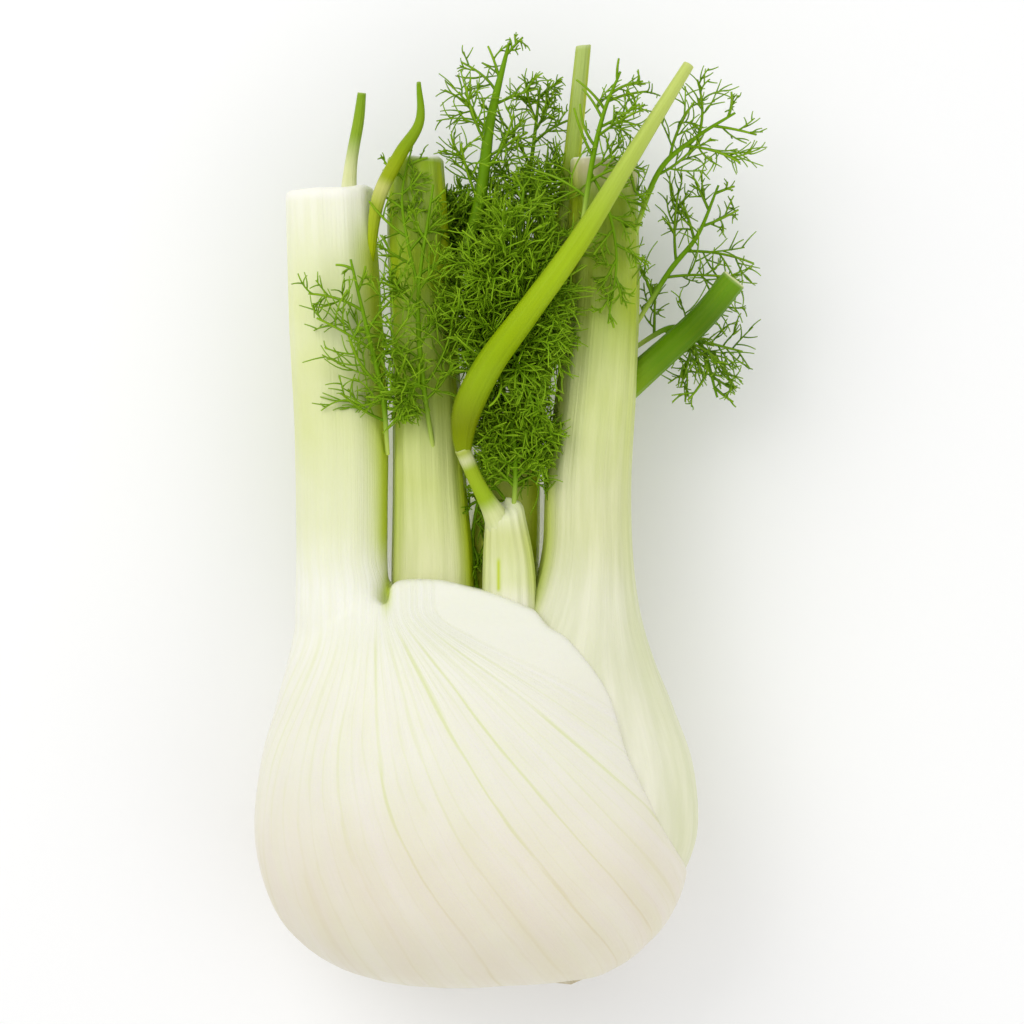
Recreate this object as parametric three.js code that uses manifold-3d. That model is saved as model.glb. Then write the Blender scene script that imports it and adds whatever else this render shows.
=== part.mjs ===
// A Florence fennel bulb with cut stalks and feathery leaves, lying on its broad side.
// Millimetres, +Z up. The origin is on the flat spot that it rests on, +Y runs from the root to the stalk
// tips, and +X is to the right seen from above.
import * as THREE from "three";
import { mergeVertices } from "three/addons/utils/BufferGeometryUtils.js";
import Module from "manifold-3d";

const wasm = await Module();
wasm.setup();

// Driving sizes
const MID_Z = 36.5; // height of the bulb's middle plane above the surface it lies on
const CLEARANCE = 0.55; // room left round each piece, so that neighbours stay about 0.35 apart
const SQUARENESS = 0.92; // of a cross-section: 1 is an ellipse, less is squarer
const BULB_RIB = 0.7; // how far the veins of a sheath stand out
const STALK_RIB = 0.5;
const VEIN_TURN = 0.3; // radians by which the veins lean over between the shoulder and the root
const SHEATH_STEP = 5; // depth of the step down at the outer sheath's free edge
const GOLDEN = 0.6180339887; // its multiples spread evenly between 0 and 1

const paint = (color, roughness) => new THREE.MeshStandardMaterial({ color, roughness, metalness: 0 });
const SHEATH = paint("#eef0dd", 0.42);
const STALK = paint("#d3dd98", 0.45);
const STEM = paint("#9dbd2e", 0.5);
const LEAF = paint("#4f8c16", 0.6);
const ROOT = paint("#cdbf98", 0.8);

const part = new THREE.Group();
const UP = new THREE.Vector3(0, 0, 1);

const fraction = (value) => value - Math.floor(value);
const smoothCurve = (points) =>
  new THREE.CatmullRomCurve3(points.map((p) => new THREE.Vector3(...p)), false, "catmullrom", 0.5);
const fuse = (solids) => wasm.Manifold.union(solids);
const largest = (solid) =>
  solid.decompose().reduce((best, piece) => (piece.volume() > best.volume() ? piece : best));

const solidOf = (positions, faces) =>
  new wasm.Manifold(new wasm.Mesh({ numProp: 3, vertProperties: positions, triVerts: faces }));

function solidFrom(geometry) {
  geometry.deleteAttribute("normal");
  geometry.deleteAttribute("uv");
  const merged = mergeVertices(geometry, 1e-4);
  return solidOf(merged.attributes.position.array, new Uint32Array(merged.index.array));
}

function geometryOf(solid) {
  const { vertProperties, triVerts } = solid.getMesh();
  const geometry = new THREE.BufferGeometry();
  geometry.setAttribute("position", new THREE.BufferAttribute(vertProperties, 3));
  geometry.setIndex(new THREE.BufferAttribute(triVerts, 1));
  geometry.computeVertexNormals();
  return geometry;
}

// The same shape with its whole surface moved outwards
function swollen(solid, distance) {
  const geometry = geometryOf(solid);
  const { position, normal } = geometry.attributes;
  const moved = position.array.map((value, i) => value + distance * normal.array[i]);
  return solidOf(moved, geometry.index.array);
}

// Each piece leaves a room, a little larger than itself, that the pieces after it keep out of.
const rooms = [];

function meets(one, two) {
  const [a, b] = [one.boundingBox(), two.boundingBox()];
  return [0, 1, 2].every((i) => a.min[i] < b.max[i] && b.min[i] < a.max[i]);
}

function addPiece(name, shape, material, room = swollen(shape, CLEARANCE)) {
  const near = rooms.filter((other) => meets(shape, other));
  const free = near.reduce((rest, other) => rest.subtract(other), shape);
  const mesh = new THREE.Mesh(geometryOf(largest(free)), material);
  mesh.name = name;
  part.add(mesh);
  rooms.push(room);
}

// Joins rings of points, counterclockwise seen from the far end, into one closed skin.
function skin(rings) {
  const count = rings[0].length;
  const points = rings.flat();
  const faces = [];
  for (let ring = 0; ring + 1 < rings.length; ring++)
    for (let i = 0; i < count; i++) {
      const [a, b] = [ring * count + i, ring * count + ((i + 1) % count)];
      faces.push(a, b, b + count, a, b + count, a + count);
    }
  const middleOf = (ring) =>
    ring.reduce((sum, p) => sum.add(p), new THREE.Vector3()).divideScalar(count);
  const far = (rings.length - 1) * count;
  if (count < 5)
    for (let i = 1; i + 1 < count; i++) faces.push(0, i + 1, i, far, far + i, far + i + 1);
  else {
    const near = points.push(middleOf(rings[0]), middleOf(rings.at(-1))) - 2;
    for (let i = 0; i < count; i++) {
      const next = (i + 1) % count;
      faces.push(near, next, i, near + 1, far + i, far + next);
    }
  }
  return solidFrom(new THREE.BufferGeometry().setFromPoints(points).setIndex(faces));
}

// A leaf base or a stalk is a loft of rounded rings. Each station gives a ring's left and right ends seen
// from above, the height of its middle, its depth above and below that, and its front's lean to the tips.
const stationValues = ({ left, right, mid, front, back, lean = 0 }) => [
  [...left, mid],
  [...right, lean],
  [front, back, 0],
];

function loft(stations, { rings, columns, rib = 0, turn = 0 }) {
  const lines = [0, 1, 2].map((i) => smoothCurve(stations.map((s) => stationValues(s)[i])));
  const made = [];
  for (let ring = 0; ring <= rings; ring++) {
    const t = ring / rings;
    const [left, right, depth] = lines.map((line) => line.getPoint(t));
    const half = new THREE.Vector2(right.x - left.x, right.y - left.y).divideScalar(2);
    const middle = new THREE.Vector2(left.x, left.y).add(half);
    const row = [];
    for (let column = 0; column < columns; column++) {
      const angle = (-2 * Math.PI * column) / columns - turn * (1 - t);
      const [across, height] = [Math.cos(angle), Math.sin(angle)].map(
        (v) => Math.sign(v) * Math.abs(v) ** SQUARENESS,
      );
      const flute = column % 2 ? 0 : rib * Math.min(1, 4 * t);
      const up = (height > 0 ? depth.x : depth.y) * height + flute * Math.sin(angle);
      const out = across * (1 + flute / half.length());
      const x = middle.x + half.x * out;
      const y = middle.y + half.y * out + right.z * up;
      row.push(new THREE.Vector3(x, y, left.z + up));
    }
    made.push(row);
  }
  return skin(made);
}

// A round stem along a path, its radius changing evenly between the given ones
function stem(path, radii, sides = 8, steps = 6) {
  const line = smoothCurve(path);
  const sizes = smoothCurve(radii.map((radius) => [radius, 0, 0]));
  const made = [];
  for (let step = 0; step <= steps; step++) {
    const at = line.getPoint(step / steps);
    const along = line.getTangent(step / steps);
    const radius = sizes.getPoint(step / steps).x;
    made.push(ringRound(at, along, radius, sides));
  }
  return skin(made);
}

function ringRound(centre, along, radius, sides) {
  const side = UP.clone().cross(along).normalize();
  const over = along.clone().cross(side);
  const corner = (angle) =>
    centre
      .clone()
      .addScaledVector(side, radius * Math.cos(angle))
      .addScaledVector(over, radius * Math.sin(angle));
  return Array.from({ length: sides }, (_, i) => corner((2 * Math.PI * i) / sides));
}

// The root plate: the woody base that every leaf grows from, at the bottom right and turned away below
const ROOT_CENTRE = new THREE.Vector3(23, -47.5, MID_Z - 17);
const ROOT_AIM = new THREE.Vector3(0.3, -0.72, -0.62).normalize();
const ROOT_RADIUS = 10.5;
const ROOT_PROFILE = [
  [-9, 1],
  [0, 1],
  [1.6, 0.86],
  [3, 0.55],
]; // distance along its aim, and share of its radius

function rootPlate() {
  const at = (along) => ROOT_CENTRE.clone().addScaledVector(ROOT_AIM, along).toArray();
  const radii = ROOT_PROFILE.map((row) => row[1] * ROOT_RADIUS);
  return stem(ROOT_PROFILE.map((row) => at(row[0])), radii, 18, 6);
}
addPiece("root_plate", rootPlate(), ROOT);

// The surface below, which presses a flat spot on the underside
const SURFACE_SIZE = 200;
const below = solidFrom(
  new THREE.BoxGeometry(SURFACE_SIZE, SURFACE_SIZE, SURFACE_SIZE).translate(0, 0, -SURFACE_SIZE / 2),
);

// The left leaf: the outer sheath that wraps the bulb's front, and the thick stalk above it
const SHEATH_BODY = [
  { left: [9, -54.5], right: [20, -53], mid: MID_Z - 4, front: 3, back: 3 },
  { left: [-14, -54], right: [31, -50.5], mid: MID_Z - 2, front: 14, back: 14 },
  { left: [-33, -49], right: [41, -43], mid: MID_Z - 1, front: 24, back: 24 },
  { left: [-46.5, -38], right: [48, -33], mid: MID_Z, front: 31, back: 31 },
  { left: [-53, -20], right: [51.5, -18], mid: MID_Z, front: 35, back: 35.8 },
  { left: [-52.3, -1], right: [50.5, -1], mid: MID_Z, front: 34.5, back: 37.2 },
  { left: [-48.5, 14], right: [46, 12], mid: MID_Z, front: 31, back: 38 },
  { left: [-45.6, 25], right: [42, 24], mid: MID_Z, front: 25, back: 35 },
  { left: [-43.8, 33], right: [39, 33], mid: MID_Z, front: 18.5, back: 25 },
  { left: [-42.6, 40], right: [37.5, 40], mid: MID_Z, front: 13.5, back: 17 },
  { left: [-41, 48], right: [36.5, 48], mid: MID_Z, front: 9.5, back: 9.5 },
];
const LEFT_STALK = [
  { left: [-44, 22], right: [-16, 22], mid: MID_Z, front: 13, back: 13 },
  { left: [-43.6, 35], right: [-19, 35], mid: MID_Z, front: 12, back: 11.5 },
  { left: [-43.2, 47], right: [-20.8, 46], mid: MID_Z, front: 11, back: 10.5 },
  { left: [-43.2, 58], right: [-21.4, 58], mid: MID_Z, front: 9.8, back: 9.3 },
  { left: [-43.6, 80], right: [-21.8, 80], mid: MID_Z, front: 9.5, back: 8.5 },
  { left: [-45, 105], right: [-23, 105], mid: MID_Z, front: 9.2, back: 8.5 },
  { left: [-46, 136.5], right: [-25, 137.5], mid: MID_Z, front: 9.5, back: 8.5 },
];

// The sheath seen from above ends at its free edge, from the root's right up to the collar, and at its rim.
const FREE_EDGE = [
  [60, -60],
  [51, -28],
  [44, -14],
  [36, 3],
  [31, 18],
  [22, 29.5],
  [16.5, 33],
];
const RIM = [
  [13.5, 36.8],
  [5.3, 39.8],
  [-1.9, 41.7],
  [-9.1, 43.9],
  [-18.7, 43.2],
  [-23, 42.4],
];
const FILLED_STATIONS = [2, 8]; // the bulb is solid inside between these stations of the sheath

const AROUND_THE_REST = [
  [-23, 90],
  [-90, 90],
  [-90, -70],
  [60, -70],
];
const EDGE_POINTS = 14;
const BLOCK_HEIGHT = 94; // taller than the bulb, to take its outline right through it

function sheathOutline() {
  const points = (row) => row.map((p) => new THREE.Vector2(...p));
  const curve = (row) => new THREE.SplineCurve(points(row)).getPoints(EDGE_POINTS);
  return new THREE.Shape([...curve(FREE_EDGE), ...curve(RIM), ...points(AROUND_THE_REST)]);
}

// The same stations drawn in from every side
const drawnIn = (stations, depth) =>
  stations.map(({ left, right, mid, front, back }, i) => {
    const shift = i === 0 ? depth : i === stations.length - 1 ? -depth : 0;
    return {
      left: [left[0] + depth, left[1] + shift],
      right: [right[0] - depth, right[1] + shift],
      mid,
      front: front - depth,
      back: back - depth,
    };
  });

// Extra is added to its surface and its edges, for the room that the leaf needs.
function leftLeaf(extra = 0) {
  const ribbed = loft(SHEATH_BODY, { rings: 26, columns: 36, rib: BULB_RIB, turn: VEIN_TURN });
  const filled = drawnIn(SHEATH_BODY.slice(...FILLED_STATIONS), SHEATH_STEP - extra);
  const stalk = loft(LEFT_STALK, { rings: 12, columns: 20, rib: STALK_RIB });
  const block = { depth: BLOCK_HEIGHT, bevelEnabled: false };
  const low = MID_Z - BLOCK_HEIGHT / 2;
  const cut = solidFrom(new THREE.ExtrudeGeometry(sheathOutline(), block).translate(extra, extra, low));
  const sheath = swollen(ribbed, extra).intersect(cut);
  return fuse([sheath, loft(filled, { rings: 12, columns: 28 }), swollen(stalk, extra)]);
}
addPiece("leaf_left", leftLeaf().subtract(below), SHEATH, leftLeaf(CLEARANCE));

// The right leaf: a sheath that comes out from under the left one, and its stalk
const RIGHT_LEAF = [
  { left: [2, -43], right: [34, -41], mid: MID_Z, front: 10, back: 12 },
  { left: [-8, -33], right: [45.5, -32], mid: MID_Z, front: 20, back: 21 },
  { left: [-10, -18], right: [52.2, -18], mid: MID_Z, front: 25, back: 27 },
  { left: [-8, -1], right: [51.5, -1], mid: MID_Z, front: 25.5, back: 28 },
  { left: [-3, 13], right: [46.8, 13], mid: MID_Z, front: 23.5, back: 28 },
  { left: [4, 25], right: [42, 25], mid: MID_Z, front: 19.5, back: 26 },
  { left: [11, 36], right: [38.8, 36], mid: MID_Z, front: 14, back: 18 },
  { left: [15.5, 50], right: [37, 50], mid: MID_Z, front: 11.3, back: 12 },
  { left: [16.5, 68], right: [36.6, 68], mid: MID_Z, front: 10.3, back: 10 },
  { left: [19, 90], right: [37.8, 90], mid: MID_Z, front: 9.6, back: 9.2 },
  { left: [21.5, 115], right: [38.6, 115], mid: MID_Z, front: 9, back: 8.6 },
  { left: [22.5, 144.5], right: [38, 143.5], mid: MID_Z, front: 8.6, back: 8.2 },
];
addPiece("leaf_right", loft(RIGHT_LEAF, { rings: 24, columns: 28, rib: STALK_RIB }), SHEATH);

// Inner stalks, which rise out of the collar behind the front sheath
const INNER_STALKS = {
  stalk_mid_left: [
    { left: [-21.2, 20], right: [-3, 20], mid: 35, front: 9, back: 9 },
    { left: [-20.8, 45], right: [-3, 45], mid: 35, front: 9, back: 9 },
    { left: [-20.2, 70], right: [-3.6, 70], mid: 35, front: 8.8, back: 8.4 },
    { left: [-20.5, 100], right: [-5, 100], mid: 35, front: 8.3, back: 8 },
    { left: [-21.5, 125], right: [-7, 125], mid: 35, front: 7.8, back: 7.6 },
    { left: [-21.5, 145], right: [-8.5, 144.5], mid: 35, front: 7.2, back: 7 },
  ],
  stalk_middle: [
    { left: [1.4, 20], right: [14, 20], mid: 41, front: 7, back: 5 },
    { left: [1.4, 45], right: [13.6, 45], mid: 41.5, front: 6.6, back: 5 },
    { left: [2, 58], right: [10.8, 61], mid: 42, front: 5.4, back: 3.8, lean: -0.25 },
  ],
  stalk_back: [
    { left: [-1, 20], right: [13, 20], mid: 28, front: 5, back: 6 },
    { left: [0.5, 50], right: [14.6, 50], mid: 28.5, front: 5, back: 5 },
    { left: [7.2, 80], right: [15.3, 80], mid: 32, front: 4, back: 4 },
    { left: [15, 108], right: [20.6, 108], mid: 31, front: 3, back: 3 },
    { left: [20, 135], right: [23.8, 135], mid: 31, front: 2, back: 2 },
    { left: [23.8, 172.3], right: [27, 172.6], mid: 33, front: 1.6, back: 1.6 },
  ],
};
for (const [name, stations] of Object.entries(INNER_STALKS))
  addPiece(name, loft(stations, { rings: 9, columns: 14, rib: STALK_RIB }), STALK);

// Leaf stems: tapering green stems with a cut or broken end
const STEMS = {
  stem_left_top: {
    path: [[-31.4, 130, 37], [-30.5, 143, 37], [-28.6, 154, 37.5], [-27.8, 160.6, 38]],
    radii: [2.4, 1.5, 1.3, 1.0],
  },
  stem_left_fork: {
    path: [[-25.4, 120, 41], [-23.8, 134, 45], [-18.5, 145, 46], [-13.8, 153, 46], [-14, 162.5, 45]],
    radii: [2.8, 2.6, 1.9, 1.1, 0.5],
  },
  stem_long: {
    path: [[-3, 75.6, 50.4], [-3, 84, 52.5], [2.8, 95, 55], [12.5, 108, 58], [24, 124, 57], [50, 166, 51]],
    radii: [1.9, 3.8, 3.7, 3.3, 2.8, 1.3],
  },
  stem_fork: { path: [[6, 55, 43], [0.5, 65, 48.5], [-3.3, 73.5, 50.2]], radii: [2.2, 1.8, 1.6] },
  stem_right_low: {
    path: [[33, 88, 33], [46, 99.5, 35], [54, 107, 37], [61.3, 115.8, 38.5]],
    radii: [3.6, 3.2, 3.1, 3.0],
  },
};
for (const [name, { path, radii }] of Object.entries(STEMS)) addPiece(name, stem(path, radii), STEM);

// Feathery leaves: a rib with flat, comb-like side leaves left and right in turn
const FRONDS = {
  frond_left: {
    path: [[-21.5, 74, 40.5], [-22.5, 88, 49], [-26, 103, 51], [-30, 120, 50.5]],
    reach: 18,
    leaves: 9,
  },
  frond_mid_left: {
    path: [[-10, 72, 42], [-13, 92, 48.5], [-14, 112, 48.5], [-11, 134, 47]],
    reach: 13,
    leaves: 8,
  },
  frond_front: {
    path: [[-1, 82, 51], [6, 98, 47], [9, 117, 47.5], [11, 137, 47]],
    reach: 17,
    leaves: 9,
  },
  frond_low: {
    path: [[8.5, 59, 45], [9, 72, 45], [7.5, 84, 44], [4, 97, 43]],
    reach: 11,
    leaves: 7,
  },
  frond_top_left: {
    path: [[-8, 108, 33], [0, 133, 37], [3, 154, 37], [7.5, 173, 35]],
    reach: 16,
    leaves: 8,
  },
  frond_top_middle: {
    path: [[16, 104, 29], [10, 128, 29], [13, 146, 29], [15, 163, 30]],
    reach: 15,
    leaves: 8,
  },
  frond_behind: {
    path: [[11, 76, 26], [12, 104, 19], [15, 126, 19], [17, 148, 20]],
    reach: 17,
    leaves: 8,
  },
  frond_top_right: {
    path: [[24, 122, 57], [27, 142, 48], [30, 155, 46], [34, 165, 45]],
    reach: 13,
    leaves: 7,
  },
  frond_right_upper: {
    path: [[36, 122, 40], [43, 141, 42], [52, 149.5, 42], [61.5, 155.5, 42]],
    reach: 14,
    leaves: 7,
  },
  frond_right: {
    path: [[36, 102, 34], [46, 118, 32], [53, 127, 31], [58, 139, 32]],
    reach: 15,
    leaves: 8,
  },
  frond_right_low: {
    path: [[35, 98, 32], [47, 105, 26], [54, 101, 25], [58, 88, 26]],
    reach: 15,
    leaves: 7,
  },
};
const RIB_ROOT = 1.1;
const RIB_TIP = 0.45;
const FIRST_LEAF = 0.14; // share of the rib below the first side leaf
const SIDE_ANGLE = 0.95; // radians between the rib and a side leaf
const LEAF_THICKNESS = 0.85;
const SPINE = 0.55; // half the width of a side leaf's spine at its root
const TEETH = 4; // threads on a side leaf, besides its own tip
const TOOTH_ANGLE = 0.62;
const TOOTH_ROOT = 0.65; // half the width of a thread at its root

// The outline of a side leaf along +X, with its threads on either side in turn and extra room all round
function sideLeafOutline(length, extra) {
  const edges = [[], []];
  const tips = extra ? [-extra, extra] : [0];
  const [cos, sin] = [Math.cos(TOOTH_ANGLE), Math.sin(TOOTH_ANGLE)];
  for (let tooth = 0; tooth < TEETH; tooth++) {
    const side = tooth % 2 ? -1 : 1;
    const root = length * (0.22 + (0.6 * tooth) / TEETH);
    const size = 0.6 * length * (1 - (0.6 * tooth) / TEETH) + extra;
    const [half, out] = [TOOTH_ROOT + extra / sin, SPINE * (1 - root / length) + extra];
    edges[tooth % 2].push(
      [root - half, side * out],
      ...tips.map((tip) => [root + size * cos + tip * sin, side * (size * sin - tip * cos)]),
      [root + half + 0.3, side * out],
    );
  }
  const base = -0.5 - extra;
  const corners = [[base, SPINE + extra], ...edges[0], ...tips.map((tip) => [length + extra, -tip])];
  corners.push(...edges[1].reverse(), [base, -SPINE - extra]);
  return new THREE.Shape(corners.map((corner) => new THREE.Vector2(...corner)));
}

function sideLeaf(from, aim, side, roll, length, extra) {
  const depth = LEAF_THICKNESS + 2 * extra;
  const flat = new THREE.ExtrudeGeometry(sideLeafOutline(length, extra), { depth, bevelEnabled: false });
  const normal = aim.clone().cross(side).normalize();
  const place = new THREE.Matrix4().makeBasis(aim, normal.clone().cross(aim), normal).setPosition(from);
  return solidFrom(flat.translate(0, 0, -depth / 2).rotateX(roll).applyMatrix4(place));
}

// Extra is added all round, for the room that the leaf needs.
function frond({ path, reach, leaves }, seed, extra = 0) {
  const line = smoothCurve(path);
  const pieces = [stem(path, [RIB_ROOT + extra, RIB_TIP + extra], 4, 5)];
  for (let number = 0; number < leaves; number++) {
    const side = number % 2 ? 1 : -1;
    const chance = (channel) => fraction(GOLDEN * (number * 5 + channel) + 0.37 * seed) - 0.5;
    const place = FIRST_LEAF + ((1 - FIRST_LEAF) * (number + 0.5)) / leaves;
    const along = line.getTangent(place);
    const away = along.clone().cross(UP).normalize().multiplyScalar(side);
    const length = reach * (0.35 + 0.65 * Math.sin(Math.PI * (0.25 + 0.7 * place))) * (1 + 0.5 * chance(0));
    const angle = SIDE_ANGLE - 0.35 * place + 0.4 * chance(1);
    const aim = along
      .clone()
      .multiplyScalar(Math.cos(angle))
      .addScaledVector(away, Math.sin(angle))
      .addScaledVector(UP, 0.45 * chance(2))
      .normalize();
    pieces.push(sideLeaf(line.getPoint(place), aim, along, 1.2 * chance(3), length, extra));
  }
  return fuse(pieces);
}

Object.entries(FRONDS).forEach(([name, spec], i) =>
  addPiece(name, frond(spec, i + 1), LEAF, frond(spec, i + 1, CLEARANCE)),
);

export default part;
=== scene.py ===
# %% [markdown]
# # A fennel bulb, piece by piece
#
# A fennel bulb is a stack of thick leaf bases. Each base wraps the ones inside it and narrows upwards into a round,
# ribbed stalk, and the stalks carry leaves that are split into threads. This lesson dresses the solid model of one
# bulb: it keeps the solid's frame and sizes, and puts a finer, better finished piece in the place of each node.
# All sizes below are in millimetres, and they become metres when a mesh is made.

# %% Load the solid model
import math

import bmesh
import bpy
import numpy as np
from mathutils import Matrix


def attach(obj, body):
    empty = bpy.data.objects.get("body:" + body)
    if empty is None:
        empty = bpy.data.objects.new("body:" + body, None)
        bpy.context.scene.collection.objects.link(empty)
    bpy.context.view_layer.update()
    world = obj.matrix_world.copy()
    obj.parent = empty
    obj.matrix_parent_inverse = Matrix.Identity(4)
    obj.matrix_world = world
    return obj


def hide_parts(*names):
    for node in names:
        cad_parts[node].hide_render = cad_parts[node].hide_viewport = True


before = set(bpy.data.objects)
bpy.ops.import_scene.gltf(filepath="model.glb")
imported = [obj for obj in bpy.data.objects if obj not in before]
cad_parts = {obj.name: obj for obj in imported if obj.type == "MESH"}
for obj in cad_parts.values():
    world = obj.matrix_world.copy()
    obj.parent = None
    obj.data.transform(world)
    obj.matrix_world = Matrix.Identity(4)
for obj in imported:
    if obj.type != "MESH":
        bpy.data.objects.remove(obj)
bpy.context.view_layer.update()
MM = 0.001

# %% [markdown]
# ## The camera
#
# A cut vegetable lies on its side, so the camera hangs above the table and looks straight down. It is a metre away
# with a long lens, which keeps the stalks from spreading. The lens follows from the width that the picture takes in
# at the height of the bulb's middle.

# %% Hang the camera
MIDDLE_HEIGHT = 36.5
VIEW_CENTRE = (8.2, 60.2)
VIEW_WIDTH = 245.8
CAMERA_DISTANCE = 1000.0
SENSOR = 36.0

camera_data = bpy.data.cameras.new("overhead")
camera_data.sensor_width = SENSOR
camera_data.lens = SENSOR * CAMERA_DISTANCE / VIEW_WIDTH
camera = bpy.data.objects.new("overhead", camera_data)
camera.location = (VIEW_CENTRE[0] * MM, VIEW_CENTRE[1] * MM, (MIDDLE_HEIGHT + CAMERA_DISTANCE) * MM)
bpy.context.scene.collection.objects.link(camera)
bpy.context.scene.camera = camera
print("lens", round(camera_data.lens, 1), "mm")

# %% [markdown]
# ## Light and table
#
# White flesh shows its form only in soft light that is a little stronger on one side. A pale dome of light fills
# every hollow, a wide lamp above the upper left gives the direction, and a weaker one opposite keeps the shaded side
# from going grey. The plain colour transform keeps the greens as fresh as they are mixed.

# %% Light the table
WORLD_STRENGTH = 0.78
LAMPS = {
    "wide_lamp": {"place": (-380, 420, 620), "size": 560, "power": 2.1},
    "fill_lamp": {"place": (460, -180, 520), "size": 600, "power": 0.7},
}
TABLE_SIZE = 6000

scene = bpy.context.scene
scene.view_settings.view_transform = "Standard"
world = bpy.data.worlds.new("pale_dome")
world.use_nodes = True
world.node_tree.nodes["Background"].inputs["Color"].default_value = (1, 1, 1, 1)
world.node_tree.nodes["Background"].inputs["Strength"].default_value = WORLD_STRENGTH
scene.world = world


def hang_lamp(name, place, size, power):
    lamp_data = bpy.data.lights.new(name, "AREA")
    lamp_data.size = size * MM
    lamp_data.energy = power
    lamp = bpy.data.objects.new(name, lamp_data)
    lamp.location = [value * MM for value in place]
    aim = bpy.data.objects.new(name + "_aim", None)
    aim.location = (VIEW_CENTRE[0] * MM, VIEW_CENTRE[1] * MM, MIDDLE_HEIGHT * MM)
    track = lamp.constraints.new("TRACK_TO")
    track.target = aim
    for item in (lamp, aim):
        scene.collection.objects.link(item)


for name, values in LAMPS.items():
    hang_lamp(name, **values)
print("lamps:", ", ".join(LAMPS))

# %% [markdown]
# ## Smooth lines and fine meshes
#
# Every form here follows a few measured points, joined by a smooth line. A Catmull-Rom line passes through all of
# its points, so a leaf or a stem ends up where it was measured. NumPy works out a whole line at once, and the mesh is
# filled straight from its arrays, which is much quicker than adding one vertex after another.


# %% Helpers for lines and meshes
def smooth_line(points, shares):
    points = np.array(points, float).reshape(len(points), -1)
    ends = np.vstack([2 * points[0] - points[1], points, 2 * points[-1] - points[-2]])
    spans = len(points) - 1
    place = np.clip(np.asarray(shares, float), 0, 1) * spans
    span = np.minimum(place.astype(int), spans - 1)
    t = (place - span)[..., None]
    before, start, end, after = (ends[span + i] for i in range(4))
    straight = 2 * start + (end - before) * t
    bend = (2 * before - 5 * start + 4 * end - after) * t**2
    twist = (3 * start - before - 3 * end + after) * t**3
    return (straight + bend + twist) / 2


def smooth_step(value, low, high):
    share = np.clip((np.asarray(value, float) - low) / (high - low), 0, 1)
    return share * share * (3 - 2 * share)


def make_mesh(name, points, faces, values):
    mesh = bpy.data.meshes.new(name)
    corners = np.concatenate([part.ravel() for part in faces])
    sizes = np.concatenate([np.full(len(part), part.shape[1]) for part in faces])
    mesh.vertices.add(len(points))
    mesh.vertices.foreach_set("co", (np.asarray(points) * MM).ravel())
    mesh.loops.add(len(corners))
    mesh.loops.foreach_set("vertex_index", corners.astype(np.int32))
    mesh.polygons.add(len(sizes))
    mesh.polygons.foreach_set("loop_start", (np.cumsum(sizes) - sizes).astype(np.int32))
    mesh.update(calc_edges=True)
    mesh.validate()
    paint_values(mesh, values)
    mesh.shade_smooth()
    return mesh


def paint_values(mesh, values):
    for name, numbers in values.items():
        layer = mesh.attributes.new(name, "FLOAT", "POINT")
        layer.data.foreach_set("value", np.ascontiguousarray(numbers, np.float32).ravel())


def triangles_of(mesh):
    return sum(len(face.vertices) - 2 for face in mesh.polygons)


def tube_faces(rows, columns):
    ring = np.arange(columns)
    following = (ring + 1) % columns
    start = (np.arange(rows - 1) * columns)[:, None]
    quads = [start + ring, start + following, start + columns + following, start + columns + ring]
    return np.stack(quads, axis=-1).reshape(-1, 4)


# %% [markdown]
# ## Placing a finished piece
#
# Each fine piece stands for one node of the solid model and hides that node's solid. It rides on the root body, and
# it takes the material that is made for it here.

# %% Helper that places a piece
made_triangles = {}


def place_piece(mesh, node, material):
    piece = bpy.data.objects.new(node + "_fine", mesh)
    scene.collection.objects.link(piece)
    mesh.materials.append(material)
    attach(piece, "root")
    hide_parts(node)
    made_triangles[node] = triangles_of(mesh)
    return piece


# %% [markdown]
# ## Lofted leaf bases and stalks
#
# A leaf base or a stalk is a loft: a row of rounded cross-sections along its length. Each station gives the left and
# right ends of a section as seen from above, the height of its middle, and its depth above and below that. The loft
# hands back only the points; the two numbers for each point that the finish follows later, how far it lies around the
# stalk and how far along, are worked out where each piece is made.

# %% Helper that lofts stations
SQUARENESS = 0.92
CUT_RINGS = [(0.975, 0.7), (0.91, 1.7), (0.8, 2.1), (0.5, 1.2), (0.2, 0.7)]
CUT_WAVE = 0.5
RISE = 0.05
GROWN_RINGS = [(0.97, 2.0), (0.86, 5.5), (0.66, 8.5), (0.4, 10.5), (0.16, 11.5)]


def station_lines(stations, shares):
    left = smooth_line([s["left"] for s in stations], shares)
    right = smooth_line([s["right"] for s in stations], shares)
    middle = smooth_line([[s["mid"], s["front"], s["back"], s.get("lean", 0)] for s in stations], shares)
    return left, right, middle


def rounded(values):
    return np.sign(values) * np.abs(values) ** SQUARENESS


def loft(stations, rings, columns, ribs=0, rib_height=0.0, turn=0.0):
    share = np.linspace(0, 1, rings)
    left, right, middle = station_lines(stations, share)
    around = -2 * np.pi * np.arange(columns) / columns
    angle = around[None, :] - turn * (1 - share[:, None])
    across, height = rounded(np.cos(angle)), rounded(np.sin(angle))
    half = (right - left) / 2
    centre = left + half
    width = np.linalg.norm(half, axis=1)[:, None]
    rib = rib_height * (0.5 + 0.5 * np.cos(ribs * around))[None, :] * np.minimum(1, 4 * share)[:, None]
    depth = np.where(height > 0, middle[:, 1:2], middle[:, 2:3])
    up = depth * height + rib * np.sin(angle)
    out = across * (1 + rib / width)
    x = centre[:, 0:1] + half[:, 0:1] * out
    y = centre[:, 1:2] + half[:, 1:2] * out + middle[:, 3:4] * up
    z = middle[:, 0:1] + up
    return np.stack([x, y, z], axis=-1)




# %% [markdown]
# ## What changes over plant skin
#
# Two things repeat on every piece of the plant. Long fibres run from the root to the tips, and the flesh between them
# is mottled. Each is a node group, built once: the fibres follow the two numbers that a mesh carries, and the
# mottling follows its place in space. Each material then sets its own colours and depths.

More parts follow.
